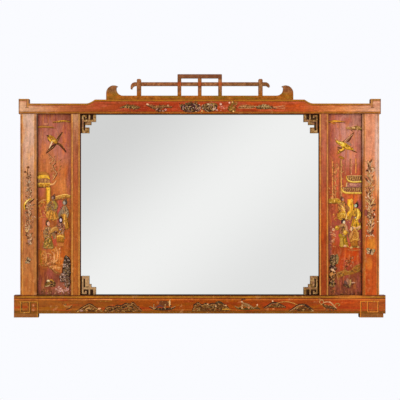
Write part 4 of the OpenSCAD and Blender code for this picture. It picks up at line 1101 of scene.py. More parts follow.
# Flowering bushes and a stem
bush(
    left, (108, 100), (32, 94), (66, 44, 28),
    [(168, 140, 122), GREY, (110, 84, 56), DARK, (196, 160, 140), (84, 58, 44), DARK], 84, 4.6, 4,
)
bush(left, (110, 48), (24, 46), (70, 46, 32), [GREY, (150, 118, 98), DARK, (180, 140, 124)], 28, 4.2, 8)
bush(left, (92, 64), (24, 36), (74, 46, 32), [GREY, (164, 124, 104), DARK, (196, 156, 140)], 30, 4.2, 6)
left.stroke([(110, 54), (110, 36), (109, 19)], [9, 7, 5], (104, 66, 38), 1.4, 0.1)
flecks(left, [(112, 50), (110, 20)], 4, 16, (DARK, GREY, LILAC), 27, 3)
# Songbird and the ground it stands on
left.area(
    [(26, 42), (34, 54), (46, 58), (58, 56), (67, 44), (66, 32), (54, 29), (40, 34), (30, 32)],
    (98, 62, 30), 2.2, 0.3, 7,
)
left.stroke([(42, 55), (52, 56), (60, 50)], [4, 5, 2], GOLD, 1.0, 0.9)
left.disc((57, 39), (15, 14), (66, 38, 20), 1.0, 0.1)
left.disc((39, 52), (12, 9), (244, 208, 156), 1.4, 0.1)
left.stroke([(33, 53), (27, 51)], [3, 1], BROWN, 1.0, 0.1)
left.stroke([(44, 44), (34, 39), (25, 32)], [8, 7, 3], (116, 84, 20), 1.6, 0.4)
left.stroke([(46, 37), (38, 33), (29, 31)], [4, 5, 3], (196, 150, 104), 1.0, 0.1)
flecks(left, [(34, 42), (60, 42)], 5, 18, (OLIVE, DARK, TAN, BROWN), 29, 3)
for start, turn in ((70, 1), (84, -1), (98, 1)):
    coil = [(start, 10), (start + 4, 18 + 3 * turn), (start + 10, 18), (start + 9, 12), (start + 5, 13)]
    left.stroke(coil, [2.5, 3.5, 3.5, 3, 2], (176, 112, 92), 0.9, 0.2)
flecks(left, [(6, 12), (60, 10), (112, 14)], 6, 30, (TAN, (176, 106, 84), BROWN, OLIVE), 31, 4)
flecks(
    left, [(72, 26), (90, 20), (112, 18)], 6, 34,
    ((206, 142, 124), (226, 172, 156), (150, 84, 66), (190, 128, 108)), 37, 5,
)
flecks(left, [(32, 316), (38, 334)], 3, 22, ((226, 158, 74), (214, 140, 66), (196, 128, 58)), 71, 3)
left.piece("left_panel_ornament", (-PANEL_X1, -SIGHT_Z), PANEL_FACE, "left_panel_relief")

# Right panel: clouds, a gold bird, bamboo, a pavilion with a curtain, four people, and a garden with
# bushes, a spray of blossoms, a bank and a moth.
right = Paste((125, 672), (2.2, 0), full=4.9)
# Clouds
cloud(
    right, [(0, 644), (14, 645), (24, 646), (44, 645), (62, 644)], [4, 8, 9, 5, 2], (206, 132, 36), BRIGHT,
)
right.stroke([(8, 642), (16, 639), (26, 636)], [4, 7, 3], (194, 110, 36), 1.0, 0.4)
cloud(right, [(66, 620), (86, 621), (104, 622), (121, 618)], [4, 8, 14, 9], (196, 144, 74), PALE)
flecks(right, [(68, 622), (96, 618), (120, 622)], 4, 30, (PALE, BROWN, OLIVE, TAN), 3, 4)
# Gold bird in flight: wings, body and tail
for ends in ([(50, 566), (70, 580), (94, 605)], [(66, 564), (78, 578), (92, 599)]):
    right.stroke(ends, [6, 6, 2], (108, 58, 28), 1.6, 0.1)
right.line([(58, 570), (74, 584), (88, 596)], 2.6, (222, 160, 112))
right.stroke([(60, 550), (50, 541), (34, 526)], [14, 17, 5], (186, 128, 40), 2.0, 0.7, 2.2)
right.stroke([(56, 546), (46, 538), (36, 534)], [6, 7, 3], BRIGHT, 1.0, 0.9)
right.line([(34, 542), (44, 532), (58, 537)], 2.4, (94, 54, 10))
right.stroke([(66, 566), (76, 563), (84, 557)], [5, 7, 4], LILAC, 1.4, 0.1)
right.stroke([(78, 548), (90, 538), (104, 530)], [8, 7, 2], (122, 72, 24), 1.5)
right.line([(84, 546), (96, 537)], 2.2, CREAM)
right.stroke(
    [(27, 577), (34, 569), (46, 563), (58, 556), (72, 548), (88, 541)], [5, 12, 16, 20, 17, 6],
    (218, 160, 30), 2.7, 0.7, 1.8,
)
right.stroke([(34, 570), (46, 566), (56, 560)], [6, 9, 5], (255, 216, 100), 0.9, 0.6, 0.6)
right.stroke([(58, 551), (68, 548), (78, 545)], [6, 8, 5], BRIGHT, 0.9, 1.0, 0.6)
right.disc((52, 557), (13, 10), (255, 206, 70), 0.7, 0.6)
right.disc((58, 547), (10, 6), (150, 104, 8), 0.7, 0.5, -20)
flecks(right, [(34, 566), (60, 554), (84, 543)], 4, 22, (OLIVE, BROWN, BRIGHT, (120, 80, 8)), 9, 3)
right.disc((29, 577), (8, 8), ROSE, 1.3, 0.1, 30)
right.stroke([(26, 580), (24, 584)], [3, 1], CREAM, 1.2, 0.2)
right.line([(36, 548), (47, 545)], 6, (112, 66, 30))
# Bamboo
right.stroke([(40, 513), (48, 511), (57, 506)], [7, 11, 5], (170, 112, 34), 1.3, 0.5)
for x0, z0, z1, w, tone in (
    (14, 350, 502, 4.6, (222, 140, 72)), (19, 352, 490, 2.6, (150, 84, 44)),
    (26, 356, 472, 4.0, (216, 136, 78)), (43, 360, 500, 2.4, (150, 90, 50)),
    (47, 350, 502, 4.4, (216, 150, 84)), (62, 446, 500, 2.4, (206, 124, 84)),
    (80, 452, 505, 2.6, (140, 84, 44)), (84, 448, 508, 3.6, (220, 146, 100)),
    (101, 454, 506, 6, (208, 128, 60)),
):
    lean = hand.uniform(-2, 2)
    joint_count = max(2, round((z1 - z0) / 24))
    right.stroke([(x0, z0), (x0 + lean, (z0 + z1) / 2), (x0, z1)], w, tone, 1.3, 0.4)
    for i in range(1, joint_count):
        z = z0 + (z1 - z0) * i / joint_count
        right.line([(x0 - w / 2 + lean / 2, z), (x0 + w / 2 + lean / 2, z)], 1.4, (150, 84, 40))
        right.stroke([(x0, z), (x0 + 5, z + 6), (x0 + 10, z + 7)], [1, 3, 0.8], tone, 1.0)
flecks(right, [(14, 360), (24, 490)], 7, 34, ((226, 146, 80), (170, 96, 50), (200, 130, 70)), 33, 5)
# Pavilion with two roofs, post and curtain
right.area([(66, 401), (123, 401), (123, 417), (72, 417)], (172, 106, 92), 0.7, 0.0, 3)
flecks(right, [(74, 409), (118, 409)], 3, 12, ((206, 140, 110), (140, 80, 66), (226, 160, 120)), 34, 3.4)
right.stroke([(66, 402), (67, 412), (70, 420)], [4, 4, 2], PALE, 1.2, 0.1)
pavilion_roof(
    right, [(66, 442), (68, 431), (76, 423), (92, 420), (123, 421)], [3, 6, 7, 7, 7], (150, 96, 58), 443, 3,
)
pavilion_roof(
    right, [(48, 398), (51, 388), (60, 381), (78, 378.5), (123, 379)], [3, 7, 8, 8, 8], (150, 86, 60), 399,
    5,
)
right.line([(47, 398), (47, 434)], 2.4, (226, 164, 70), 0.7)
right.line([(58, 400), (123, 400)], 2.4, (122, 62, 50), 0.1)
right.area([(68, 290), (86, 290), (91, 300), (91, 357), (70, 357)], (236, 164, 34), 1.8, 0.6, 3)
flecks(right, [(80, 296), (84, 352)], 4, 16, ((206, 130, 30), (250, 206, 100), (180, 104, 24)), 36, 3.4)
right.line([(78, 297), (78, 350)], 4.0, (250, 196, 64), 0.7)
right.line([(85, 302), (86, 354)], 2.0, (176, 104, 16), 0.3)
right.line([(91, 306), (92, 336)], 3, (150, 140, 30))
right.line([(93, 360), (95, 380)], 1.6, (150, 60, 24))
# Gilded band that bends down to the people
right.stroke(
    [(2, 348), (18, 349), (34, 350), (44, 338), (50, 322), (52, 306)], [18, 18, 17, 15, 13, 10],
    (196, 138, 34), 1.9, 0.7, 2.6,
)
# A bright line painted along the band's top as a highlight, and a dark one under it as shade.
right.line([(2, 356), (20, 357), (36, 357), (48, 344)], 2.6, (226, 166, 70), 0.7)
right.line([(2, 340), (22, 340), (34, 341)], 2.4, (116, 62, 14))
flecks(
    right, [(6, 348), (38, 348), (50, 320)], 4, 20, ((216, 160, 50), (170, 112, 30), (236, 186, 90)), 35, 4,
)
# Four people and the things they hold
person(
    right, 52, 280, 86, (166, 106, 54), (206, 146, 26), (226, 172, 60), 1, 1.15, (110, 62, 50),
    (206, 150, 120), (206, 146, 50),
)
right.disc((50, 293), (36, 27), (188, 124, 34), 2.5, 0.6, 0, 3.0)
flecks(right, [(36, 293), (64, 293)], 10, 36, ((226, 170, 60), (140, 84, 20), (206, 146, 40)), 53, 3.4)
right.line([(64, 304), (67, 294), (64, 284)], 3.4, (246, 196, 124), 0.4)
right.line([(38, 288), (48, 284), (60, 286)], 2.6, (150, 96, 20), 0.3)
right.line([(44, 300), (52, 303), (60, 300)], 3.0, (244, 196, 84), 0.6)
right.stroke([(50, 330), (56, 318), (62, 308)], [5, 6, 3], (240, 190, 96), 1.4, 0.5)
person(
    right, 102, 244, 101, (186, 130, 34), (196, 138, 24), (230, 176, 60), -1, 1.1, (48, 34, 30),
    (206, 214, 178), (160, 90, 60),
)
right.stroke([(112, 318), (116, 300), (110, 284)], [6, 9, 6], (214, 156, 50), 1.8, 0.5)
right.stroke([(106, 320), (110, 300), (104, 280)], [4, 6, 4], (250, 200, 80), 1.2, 0.7)
right.disc((114, 276), (9, 16), (150, 76, 72), 0.8, 0.1)
right.stroke([(86, 252), (100, 247), (116, 254)], [8, 9, 7], (236, 176, 120), 1.6, 0.2)
person(
    right, 56, 178, 106, (136, 84, 52), (178, 130, 20), (210, 156, 60), 1, 0.85, (58, 28, 34),
    (238, 208, 168), (150, 100, 50),
)
right.stroke([(54, 262), (44, 256), (34, 250)], [9, 11, 10], (190, 132, 74), 1.8)
right.disc((32, 249), (17, 18), (196, 148, 30), 2.2, 0.5, 0, 2.0)
right.disc((30, 252), (7, 7), (244, 196, 60), 1.2, 0.7)
right.stroke([(62, 262), (67, 250), (66, 236)], [7, 9, 8], (206, 140, 96), 1.8, 0.2)
right.disc((62, 231), (16, 20), (232, 164, 40), 2.3, 0.4, 0, 2.0)
right.disc((60, 234), (7, 8), (250, 200, 92), 1.2, 0.5)
right.stroke([(42, 222), (48, 212), (50, 196)], [12, 14, 10], (166, 124, 22), 1.8, 0.4, 2.0)
right.stroke([(46, 208), (48, 194), (50, 181)], [10, 11, 9], (196, 150, 56), 1.6, 0.4)
right.disc((61, 182), (12, 9), (240, 180, 130), 1.4, 0.1)
right.area(
    [
        (84, 240), (95, 246), (105, 236), (111, 218), (109, 194), (112, 176), (82, 174), (83, 190),
        (77, 204), (76, 222),
    ],
    (184, 116, 38), 2.4, 0.4, 5,
)
flecks(
    right, [(94, 240), (96, 215), (98, 185)], 11, 60,
    ((216, 150, 60), (130, 72, 30), (228, 172, 90), (170, 96, 24), (140, 90, 20)), 52, 3.4,
)
right.stroke([(96, 246), (105, 236), (110, 220), (109, 202)], [3, 5, 5, 3], (224, 160, 74), 1.4)
right.stroke([(88, 234), (82, 222), (78, 208)], [7, 8, 5], (212, 142, 72), 2.0, 0.2)
right.line([(92, 236), (88, 222), (86, 206)], 2.2, (140, 76, 30))
right.area([(84, 178), (110, 178), (108, 204), (88, 205)], (180, 106, 22), 2.3, 0.5)
right.line([(90, 204), (98, 207), (108, 203)], 2.4, (226, 166, 70), 0.5)
right.line([(94, 182), (94, 200)], 2.2, (150, 88, 20), 0.3)
right.disc((85.5, 246), (11, 18), (58, 30, 20), 1.9, 0.05)
right.disc((84, 245), (9, 16), (240, 186, 128), 1.5, 0.0, 0, 0.8)
for spot in ((84, 176), (110, 178)):
    right.disc(spot, (11, 9), (220, 166, 96), 1.5, 0.2)
right.line([(88, 181), (104, 181)], 5, (120, 80, 20))
right.stroke([(72, 168), (94, 166), (118, 168)], 3.6, (216, 128, 60), 1.2)
# Blossoms and bushes at the left edge, and a spray beside them
flecks(
    right, [(14, 186), (16, 208), (18, 232), (20, 250)], 6, 40,
    ((222, 130, 80), (150, 76, 34), (206, 106, 60), (232, 160, 110), (176, 110, 50)), 8, 4.6,
)
for spot, size, tone in (
    ((17, 243), 10, (238, 184, 140)), ((14, 200), 10, (226, 150, 104)), ((21, 222), 8, (222, 140, 90)),
):
    blossom(right, spot, size, tone, (150, 70, 34))
bush(
    right, (18, 129), (30, 44), (74, 50, 22),
    [(196, 150, 104), (150, 116, 60), DARK, (172, 124, 76), DARK, GREY], 58, 4.0, 3,
)
bush(right, (15, 100), (28, 26), (58, 34, 18), [DARK, LILAC, BROWN, GREY, DARK], 24, 4.8, 9)
bush(right, (14, 72), (27, 38), (90, 52, 22), [(196, 134, 84), DARK, (150, 92, 40), DARK, TAN], 34, 5.0, 5)
bush(right, (13, 42), (26, 28), (84, 54, 24), [(176, 124, 78), DARK, GREY, OLIVE, DARK], 26, 5.0, 2)
right.stroke([(10, 94), (17, 92), (24, 86)], [5, 7, 3], (240, 186, 138), 1.5, 0.1)
right.disc((11, 78), (15, 12), (200, 132, 66), 1.0, 0.5)
right.stroke([(30, 150), (34, 138), (32, 118)], [6, 8, 6], (132, 108, 62), 1.3, 0.2)
spray(
    right, [(58, 100), (68, 108), (76, 118), (80, 132), (90, 138)], 2.6, 12, [(130, 66, 22), TAN],
    [
        (0.0, 8, (212, 112, 60)), (0.38, 8, (214, 124, 74)), (0.66, 8, (206, 118, 70)),
        (0.98, 7, (214, 128, 84)),
    ],
    (120, 56, 16), 13, 0.8,
)
for spot in ((67, 127), (90, 121), (84, 109)):
    blossom(right, spot, 8.5, (220, 128, 84), (110, 48, 14))
flecks(right, [(64, 112), (84, 134)], 8, 34, ((212, 116, 62), (112, 48, 10), (190, 96, 40)), 39, 3.4)
# Bank of the garden
right.stroke(
    [(30, 76), (44, 86), (62, 89), (84, 86), (92, 100), (104, 108), (118, 114)], [3, 5, 5, 4, 4, 5, 3],
    (186, 122, 52), 1.3, 0.5,
)
hill = [(32, 62), (60, 72), (86, 76), (118, 88), (118, 110), (96, 104), (84, 84), (60, 86), (40, 82)]
right.area(hill, (150, 90, 24), 0.8, 0.4, 5)
flecks(right, [(38, 74), (70, 80), (112, 98)], 5, 34, (OLIVE, (176, 112, 34), BROWN), 41, 5)
right.stroke([(30, 78), (33, 66), (36, 54)], [4, 5, 2], TAN, 1.0, 0.2)
# Moth over the bank's foot
right.disc((79, 44), (12, 28), (210, 166, 96), 1.9, 0.5, -8, 1.6)
right.disc((72, 50), (12, 26), (172, 112, 84), 1.6, 0.1, 14, 1.6)
right.disc((63, 46), (10, 18), (104, 72, 60), 1.2, 0.1, 30)
right.stroke([(57, 38), (68, 33), (79, 28)], [7, 11, 5], (74, 42, 24), 1.5, 0.1)
right.stroke([(86, 45), (92, 46), (99, 45)], [5, 5, 2], (236, 176, 140), 1.3, 0.1)
right.line([(86, 40), (94, 41)], 3.2, DARK)
for i in range(4):
    right.line([(72 + 4 * i, 34), (75 + 4 * i, 56)], 1.2, BROWN if i % 2 else OLIVE)
flecks(right, [(10, 14), (60, 12), (112, 20)], 6, 26, (BROWN, (150, 74, 40), (120, 60, 50)), 43, 5)
flecks(right, [(44, 282), (50, 296)], 3, 24, ((236, 176, 62), (224, 158, 48), (204, 140, 44)), 73, 3)
right.piece("right_panel_ornament", (PANEL_X0, -SIGHT_Z), PANEL_FACE, "right_panel_relief")

# Outer stiles: a flowering branch with buds and a gold bird on the left, one with long leaves on the
# right, and a moth below each. Places are counted from the stile's middle and its lower end.
left_climb = Paste((63, 672), (33.5, 0))
leaves = [
    (166, 112, 76), (112, 66, 38), (200, 150, 110), (224, 180, 140), (140, 94, 60), (206, 158, 114),
    (96, 56, 30),
]
stem = [(-2, 188), (2, 215), (-4, 248), (3, 280), (-3, 312), (4, 345), (-3, 380), (0, 410), (-4, 446)]
thicket(left_climb, stem, 16, 190, 10, 3.4, leaves, 21, (0.2, 1.3), (196, 146, 104))
flecks(
    left_climb, stem, 8, 70, ((92, 50, 26), (222, 178, 138), BROWN, (196, 140, 90), (206, 150, 104)), 45,
    3.4,
)
for x, z, size, tone in (
    (-1, 200, 11, LILAC), (-9, 240, 11, PALE), (5, 285, 10, TAN), (-3, 392, 11, GREY),
    (0, 420, 10, (196, 164, 130)),
):
    blossom(left_climb, (x, z), size, tone)
left_climb.stroke([(-4, 440), (-7, 455), (-6, 468)], [3, 2.4, 2], BROWN, 1.2, 0.2)
left_climb.disc((-5, 474), (11, 9), (112, 60, 30), 2.0, 0.2, 30)
left_climb.disc((-15, 457), (9, 7), (92, 46, 24), 2.0, 0.2, -10)
left_climb.line([(-15, 457), (-9, 452), (-6, 446)], 1.6, BROWN)
left_climb.stroke(
    [(-17, 318), (-18, 331), (-13, 344), (-3, 353), (8, 357)], [4, 9, 9, 7, 3], (228, 164, 44), 2.5, 0.9,
    1.4,
)
left_climb.stroke([(-15, 340), (-9, 348), (-2, 354)], [3, 5, 2], (250, 214, 130), 0.8, 0.8, 0.5)
left_climb.disc((-14, 331), (6, 8), DARK, 0.8, 0.1)
left_climb.stroke([(2, 343), (10, 350), (20, 358)], [5, 6, 2], (96, 52, 26), 1.6, 0.2)
left_climb.line([(6, 352), (14, 358)], 2.2, PALE)
moth(left_climb, (-4, 128), 25, (164, 134, 96), (206, 172, 130), 70)
left_climb.piece("left_stile_ornament", (-STILE_X1, -SIGHT_Z), STILE_FACE, "left_stile_relief")

right_climb = Paste((63, 672), (29.5, 0))
leaves = [
    (206, 140, 92), (112, 60, 34), (232, 180, 132), (166, 100, 60), (214, 160, 104), (206, 146, 74),
    (240, 200, 156), (104, 54, 28),
]
stem = [
    (4, 224), (0, 244), (4, 275), (-2, 310), (2, 340), (-4, 375), (2, 410), (-3, 445), (2, 470), (-2, 497),
]
flecks(
    right_climb, [(0, 224), (2, 300), (-2, 400), (0, 476)], 9, 130,
    ((226, 176, 130), (240, 200, 160), (206, 150, 104), (186, 128, 84)), 49, 4,
)
thicket(right_climb, stem, 14, 190, 20, 3.4, leaves, 33, (0.15, 0.85), (104, 56, 30))
flecks(right_climb, [(2, 260), (0, 320), (0, 380)], 9, 70, (DARK, (232, 186, 140), BROWN, GOLD), 47, 3)
for a, b, tone in (
    ((-3, 340), (-19, 353), PALE), ((3, 336), (19, 361), PALE), ((2, 330), (19, 336), (84, 42, 22)),
    ((-2, 358), (-11, 370), CREAM), ((4, 470), (17, 461), CREAM), ((-4, 405), (-19, 400), (200, 138, 62)),
    ((-8, 424), (-21, 436), (104, 56, 34)), ((6, 264), (14, 282), (212, 146, 70)),
    ((-2, 470), (-9, 488), (104, 54, 24)),
):
    middle = ((a[0] + b[0]) / 2, (a[1] + b[1]) / 2 + 2)
    right_climb.stroke([a, middle, b], [2, 4.8, 1.2], tone, 1.7, 0.5)
for spot in ((15, 314), (14, 291), (-11, 462)):
    right_climb.disc(spot, (9, 8), (96, 48, 26), 1.8, 0.2)
right_climb.area([(-22, 296), (-11, 294), (-10, 314), (-20, 318)], (136, 62, 50), 0.9, 0.1)
moth(right_climb, (1, 162), 33, (172, 140, 98), (222, 180, 136), -12)
right_climb.piece("right_stile_ornament", (PANEL_X1, -SIGHT_Z), STILE_FACE, "right_stile_relief")

# Top rail: feathery sprays of leaves to each side of a crowded bunch of flowers. Places are counted
# from the rail's middle at its underside.
crown = Paste((1376, 55.5), (688, 0))


def feather(sheet, spine, half, body, light, dark, seed, lean=4.0):
    """A long drooping feather: a pale spine over slanting barbs, darker along its lower side."""
    draw = random.Random(seed)
    path = curve(spine, 8)
    last = len(path) - 1
    # A dark band painted along the lower side as shade.
    sheet.stroke(
        [(x, z - 0.4 * half) for x, z in path], [1, 1.2 * half, 1.3 * half, 1], dark, 0.9, 0.1, 1.0,
        smooth=False,
    )
    sheet.stroke(path, [1, half, 1.3 * half, 1], body, 1.2, 0.2, 1.0, smooth=False)
    for i, (x, z) in enumerate(path):
        room = half * (0.25 + 0.75 * math.sin(math.pi * min(1, (i + 0.5) / last)))
        for side in (-1, 1):
            tip = (x + lean * draw.uniform(0.7, 1.6), z + side * room * draw.uniform(0.6, 1.1))
            sheet.line([(x, z), tip], 1.4, (light, body, tint(body, 0.7), dark)[draw.randrange(4)])
    sheet.line(path, 1.3, light, 0.3, smooth=False)


def rose(sheet, at, size, arcs, heart, seed):
    """A many-petalled flower head: rings of short curved petals round its heart."""
    draw = random.Random(seed)
    sheet.disc(at, size, tint(heart, 0.8), 1.9, 0.1, 0, 2.0)
    for ring, reach in enumerate((0.42, 0.29, 0.15)):
        count = (13, 9, 5)[ring]
        for i in range(count):
            a = 2 * math.pi * (i + 0.5 * ring) / count + draw.uniform(-0.12, 0.12)
            arc = [
                (at[0] + size[0] * reach * math.cos(a + t), at[1] + size[1] * reach * math.sin(a + t))
                for t in (-0.3, 0.0, 0.3)
            ]
            tone = arcs[draw.randrange(len(arcs))]
            sheet.stroke(arc, [1.2, 3.0, 1.2], tone, 1.5, 0.2, 0.7)
    for i in range(4):
        spot = (at[0] + draw.uniform(-0.12, 0.12) * size[0], at[1] + draw.uniform(-0.16, 0.16) * size[1])
        sheet.disc(spot, 2.8, (CREAM, (214, 170, 70))[i % 2], 1.2)


feather(
    crown, [(-296, 23), (-278, 28), (-258, 28), (-238, 25), (-222, 24)], 8, (120, 80, 30), (164, 120, 66),
    (70, 38, 16), 41,
)
for x, z in ((-276, 24), (-262, 25), (-248, 24), (-238, 22)):
    crown.disc((x, z), 3.4, (206, 164, 92), 1.4)
flecks(crown, [(-286, 18), (-250, 16), (-226, 18)], 2.4, 22, (DARK, BROWN, (150, 90, 50)), 49)
feather(
    crown, [(-198, 35), (-184, 30), (-168, 25), (-150, 26), (-128, 28), (-104, 25)], 8, (136, 82, 34),
    (184, 124, 70), (84, 44, 16), 43,
)
crown.disc((-193, 35), (11, 7), (226, 170, 130), 1.5, 0.1, -20)
thicket(
    crown, [(-166, 14), (-154, 13), (-142, 12), (-130, 14)], 6, 26, 8, 2.8,
    [DARK, (84, 44, 24), (206, 140, 120), (120, 62, 40)], 45,
)
crown.line([(-151, 10), (-150, 24), (-148, 38)], 2.0, (84, 46, 20))
for x, z, size, tone in (
    (-126, 15, 8, (222, 156, 140)), (-136, 10, 6, (214, 146, 120)), (-117, 31, 7, (216, 160, 110)),
):
    blossom(crown, (x, z), size, tone)
petals = [
    (182, 136, 124), (206, 164, 130), (104, 50, 40), (150, 112, 50), DARK, (84, 38, 34), (156, 104, 84),
    (128, 92, 34),
]
thicket(
    crown, [(-70, 26), (-52, 36), (-30, 40), (-8, 37)], 8, 50, 9, 3.0,
    [(120, 92, 40), (84, 50, 24), (150, 116, 60)], 53, (0.2, 1.5),
)
rose(crown, (-35, 22), (66, 35), petals, (76, 40, 34), 61)
rose(crown, (-6, 21), (22, 26), [(104, 44, 40), (176, 124, 108), DARK, (206, 152, 120)], (84, 36, 40), 62)
petals = [
    (176, 134, 74), (206, 160, 104), (92, 50, 30), DARK, (214, 156, 140), (140, 100, 40), (120, 60, 40),
]
rose(crown, (36, 24), (58, 33), petals, (92, 54, 28), 63)
crown.stroke([(48, 38), (60, 36), (66, 28)], [3, 5, 2], (128, 100, 44), 1.6, 0.2)
for spot, size, tone in (
    ((52, 18), 8, (240, 190, 166)), ((64, 14), 7, (226, 160, 136)), ((32, 35), 7, (230, 190, 150)),
    ((9, 10), 7, (222, 160, 90)),
):
    crown.disc(spot, size, tone, 1.6, 0.1)
crown.disc((36, 12), (18, 7), DARK, 1.2, 0.1, -10)
flecks(
    crown, [(-66, 26), (0, 24), (66, 24)], 10, 90,
    (DARK, (226, 186, 150), (128, 96, 44), (84, 40, 34), TAN), 57, 2.4,
)
blossom(crown, (78, 36), 9, (238, 182, 158), (190, 100, 70))
flecks(crown, [(76, 24), (92, 20)], 5, 20, ((214, 116, 90), (190, 84, 56), (226, 140, 110)), 58, 4)
crown.stroke([(122, 6), (119, 18), (120, 30), (126, 42)], [3, 4, 4, 2], (150, 100, 20), 1.6, 0.5)
thicket(
    crown, [(124, 6), (119, 18), (122, 30), (130, 42)], 17, 80, 10, 3.0,
    [(176, 124, 40), (130, 92, 20), TAN, (150, 100, 30), (110, 68, 20)], 47, (0.3, 1.4), OLIVE,
)
for spot, tone in (((110, 41), (236, 186, 160)), ((121, 43), PALE), ((125, 9), (244, 184, 110))):
    crown.disc(spot, 6.5, tone, 1.4)
feather(
    crown, [(142, 25), (160, 27), (178, 26), (206, 27)], 7, (150, 106, 44), (214, 150, 100), (130, 72, 24),
    51, 6.0,
)
crown.line([(142, 19), (170, 20), (204, 20)], 1.6, (214, 140, 90))
crown.line([(146, 32), (172, 33), (200, 31)], 1.4, (196, 120, 60))
feather(
    crown, [(208, 25), (226, 27), (246, 27), (270, 24)], 10, (146, 112, 56), (196, 160, 110), (84, 50, 22),
    59, 5.0,
)
flecks(crown, [(212, 26), (264, 25)], 4, 26, (DARK, (176, 140, 86), (96, 60, 28)), 60, 2.4)
crown.stroke([(266, 24), (276, 20), (284, 19)], [4, 6, 2], (90, 44, 20), 1.5, 0.1)
for z0, z1 in ((24, 30), (26, 24), (22, 18)):
    crown.line([(274, z0), (294, (z0 + z1) / 2 + 1), (316, z1)], 2.0, (224, 146, 96))
crown.piece("top_rail_ornament", (-RAIL_X, SIGHT_Z), RAIL_FACE, "top_rail_relief")

# Bottom rail and its blocks: chains of hills, two boats with people and a long-tailed creature, with
# square gold keys on the end blocks that run on over the feet. Places are counted from the rail's
# middle at its underside, which the feet hold up.
FOOT_HIGH = 14.5
strand = Paste((1376, 82), (688, FOOT_HIGH))


def hills(sheet, ridge, base, light, seed):
    """A low chain of hills: a dark ridge over an olive mass, touched in with fine strokes."""
    draw = random.Random(seed)
    sheet.area([(ridge[0][0], base), *ridge, (ridge[-1][0], base)], (98, 52, 8), 0.6, 0.1, 6)
    for i, (x, z) in enumerate(curve(ridge, 6)[1:-1]):
        for j in range(2):
            low = base + (z - base) * draw.uniform(0.1, 0.85)
            slope = [(x - 4, low - 1), (x, low + 1.5), (x + draw.uniform(3, 6), low - draw.uniform(0, 3))]
            tone = (
                DARK, (120, 76, 16), (66, 34, 8), (150, 98, 36), DARK, light, (92, 56, 10), (160, 70, 20),
            )[(2 * i + j) % 8]
            sheet.stroke(slope, [1.2, 2.8, 1.2], tone, 0.9, 0.3, 0.6)
    sheet.stroke(ridge, [2, 4.2, 2], (50, 27, 16), 1.4, 0.1)
    sheet.line([(x + 1, z - 3.4) for x, z in ridge], 1.5, light, 0.4)


def boat(sheet, at, long, hull, sail, seats):
    """A boat with a raised stem and stern, a matting roof and people in it."""
    x, z = at
    keel = [(-0.5, 8), (-0.33, 1), (0, -1), (0.33, 1), (0.5, 8)]
    sheet.stroke([(x + a * long, z + b) for a, b in keel], [2, 6, 8, 6, 2], hull, 1.8, 0.3, 1.4)
    sheet.stroke([(x + a * long, z + b + 3) for a, b in keel[1:4]], [5, 6, 5], tint(hull, 0.6), 1.8, 0.1)
    sheet.line([(x + a * long, z + b + 3) for a, b in keel[:2]], 1.6, (196, 150, 96))
    sheet.line([(x + a * long, z + b + 3) for a, b in keel[3:]], 1.6, (196, 150, 96))
    sheet.stroke(
        [(x - long * 0.28, z + 6), (x - long * 0.1, z + 13), (x + long * 0.08, z + 6)], [4, 7, 4], sail,
    )
    for dx, tone in seats:
        sheet.stroke([(x + dx, z + 4), (x + dx, z + 14)], [7, 3], tone, 1.8, 0.5)
        sheet.disc((x + dx, z + 17), 4.4, PALE, 1.4, 0.0)
        sheet.disc((x + dx - 1, z + 19), 3.4, DARK, 0.8, 0.0)
    flecks(
        sheet, [(x - long * 0.35, z + 2), (x + long * 0.35, z + 3)], 3, 14, (DARK, TAN, BROWN), int(abs(x)),
    )


strand.stroke([(-506, 33), (-494, 26), (-480, 26), (-471, 33)], [3, 8, 7, 2], (176, 112, 52), 1.6, 0.4)
strand.stroke([(-494, 15), (-482, 19), (-473, 29)], [2, 4, 2], (80, 40, 16), 1.4, 0.1)
strand.disc((-497, 34), (9, 6), (126, 90, 44), 1.4, 0.2)
hills(
    strand, [(-456, 8), (-440, 20), (-424, 29), (-410, 36), (-398, 32), (-384, 22), (-362, 12)], 5,
    (214, 154, 78), 61,
)
strand.disc((-438, 11), (14, 7), LILAC, 1.0, 0.1)
strand.stroke([(-422, 15), (-412, 20), (-402, 15)], [4, 6, 3], (176, 128, 70), 1.2)
strand.disc((-371, 18), (12, 7), (220, 160, 106), 1.3, 0.2)
strand.stroke([(-382, 45), (-360, 46), (-326, 45)], [3, 5, 5], (146, 84, 14), 1.2, 0.6)
strand.stroke([(-436, 50), (-390, 52), (-350, 52), (-326, 51)], [2, 3, 4, 5], (222, 132, 66), 1.0, 0.4)
ridge = [
    (-352, 16), (-338, 26), (-320, 25), (-306, 31), (-290, 30), (-274, 38), (-258, 35), (-246, 41),
    (-232, 28), (-216, 14),
]
hills(strand, ridge, 6, (200, 132, 74), 67)
hills(strand, [(-330, 10), (-306, 20), (-280, 22), (-262, 28), (-240, 18)], 5, TAN, 71)
flecks(
    strand, [(-340, 14), (-290, 20), (-236, 18)], 6, 60, (DARK, (124, 80, 20), (140, 92, 34), (84, 46, 8)),
    73, 3.4,
)
strand.area([(-152, 28), (-116, 28), (-114, 46), (-148, 48)], (106, 54, 18), 1.2, 0.1)
boat(strand, (-138, 16), 96, (76, 42, 20), (104, 62, 52), [(-32, (186, 130, 80)), (10, (150, 104, 60))])
strand.stroke([(-111, 28), (-111, 40), (-110, 52)], [6, 7, 3], (238, 178, 108), 1.8, 0.4)
strand.disc((-107, 29), (6, 6), DARK, 1.0, 0.0)
hills(
    strand,
    [
        (-26, 14), (-18, 34), (-6, 41), (8, 33), (22, 38), (34, 34), (46, 38), (60, 36), (74, 44), (88, 36),
        (108, 22),
    ],
    8, (190, 134, 78), 79,
)
flecks(
    strand, [(-16, 22), (40, 24), (96, 24)], 7, 70,
    (DARK, (150, 100, 44), (120, 76, 16), (110, 66, 14), (66, 34, 8)), 83, 3.4,
)
strand.stroke([(36, 27), (50, 24), (62, 27)], [4, 7, 4], (66, 38, 20), 1.2, 0.1)
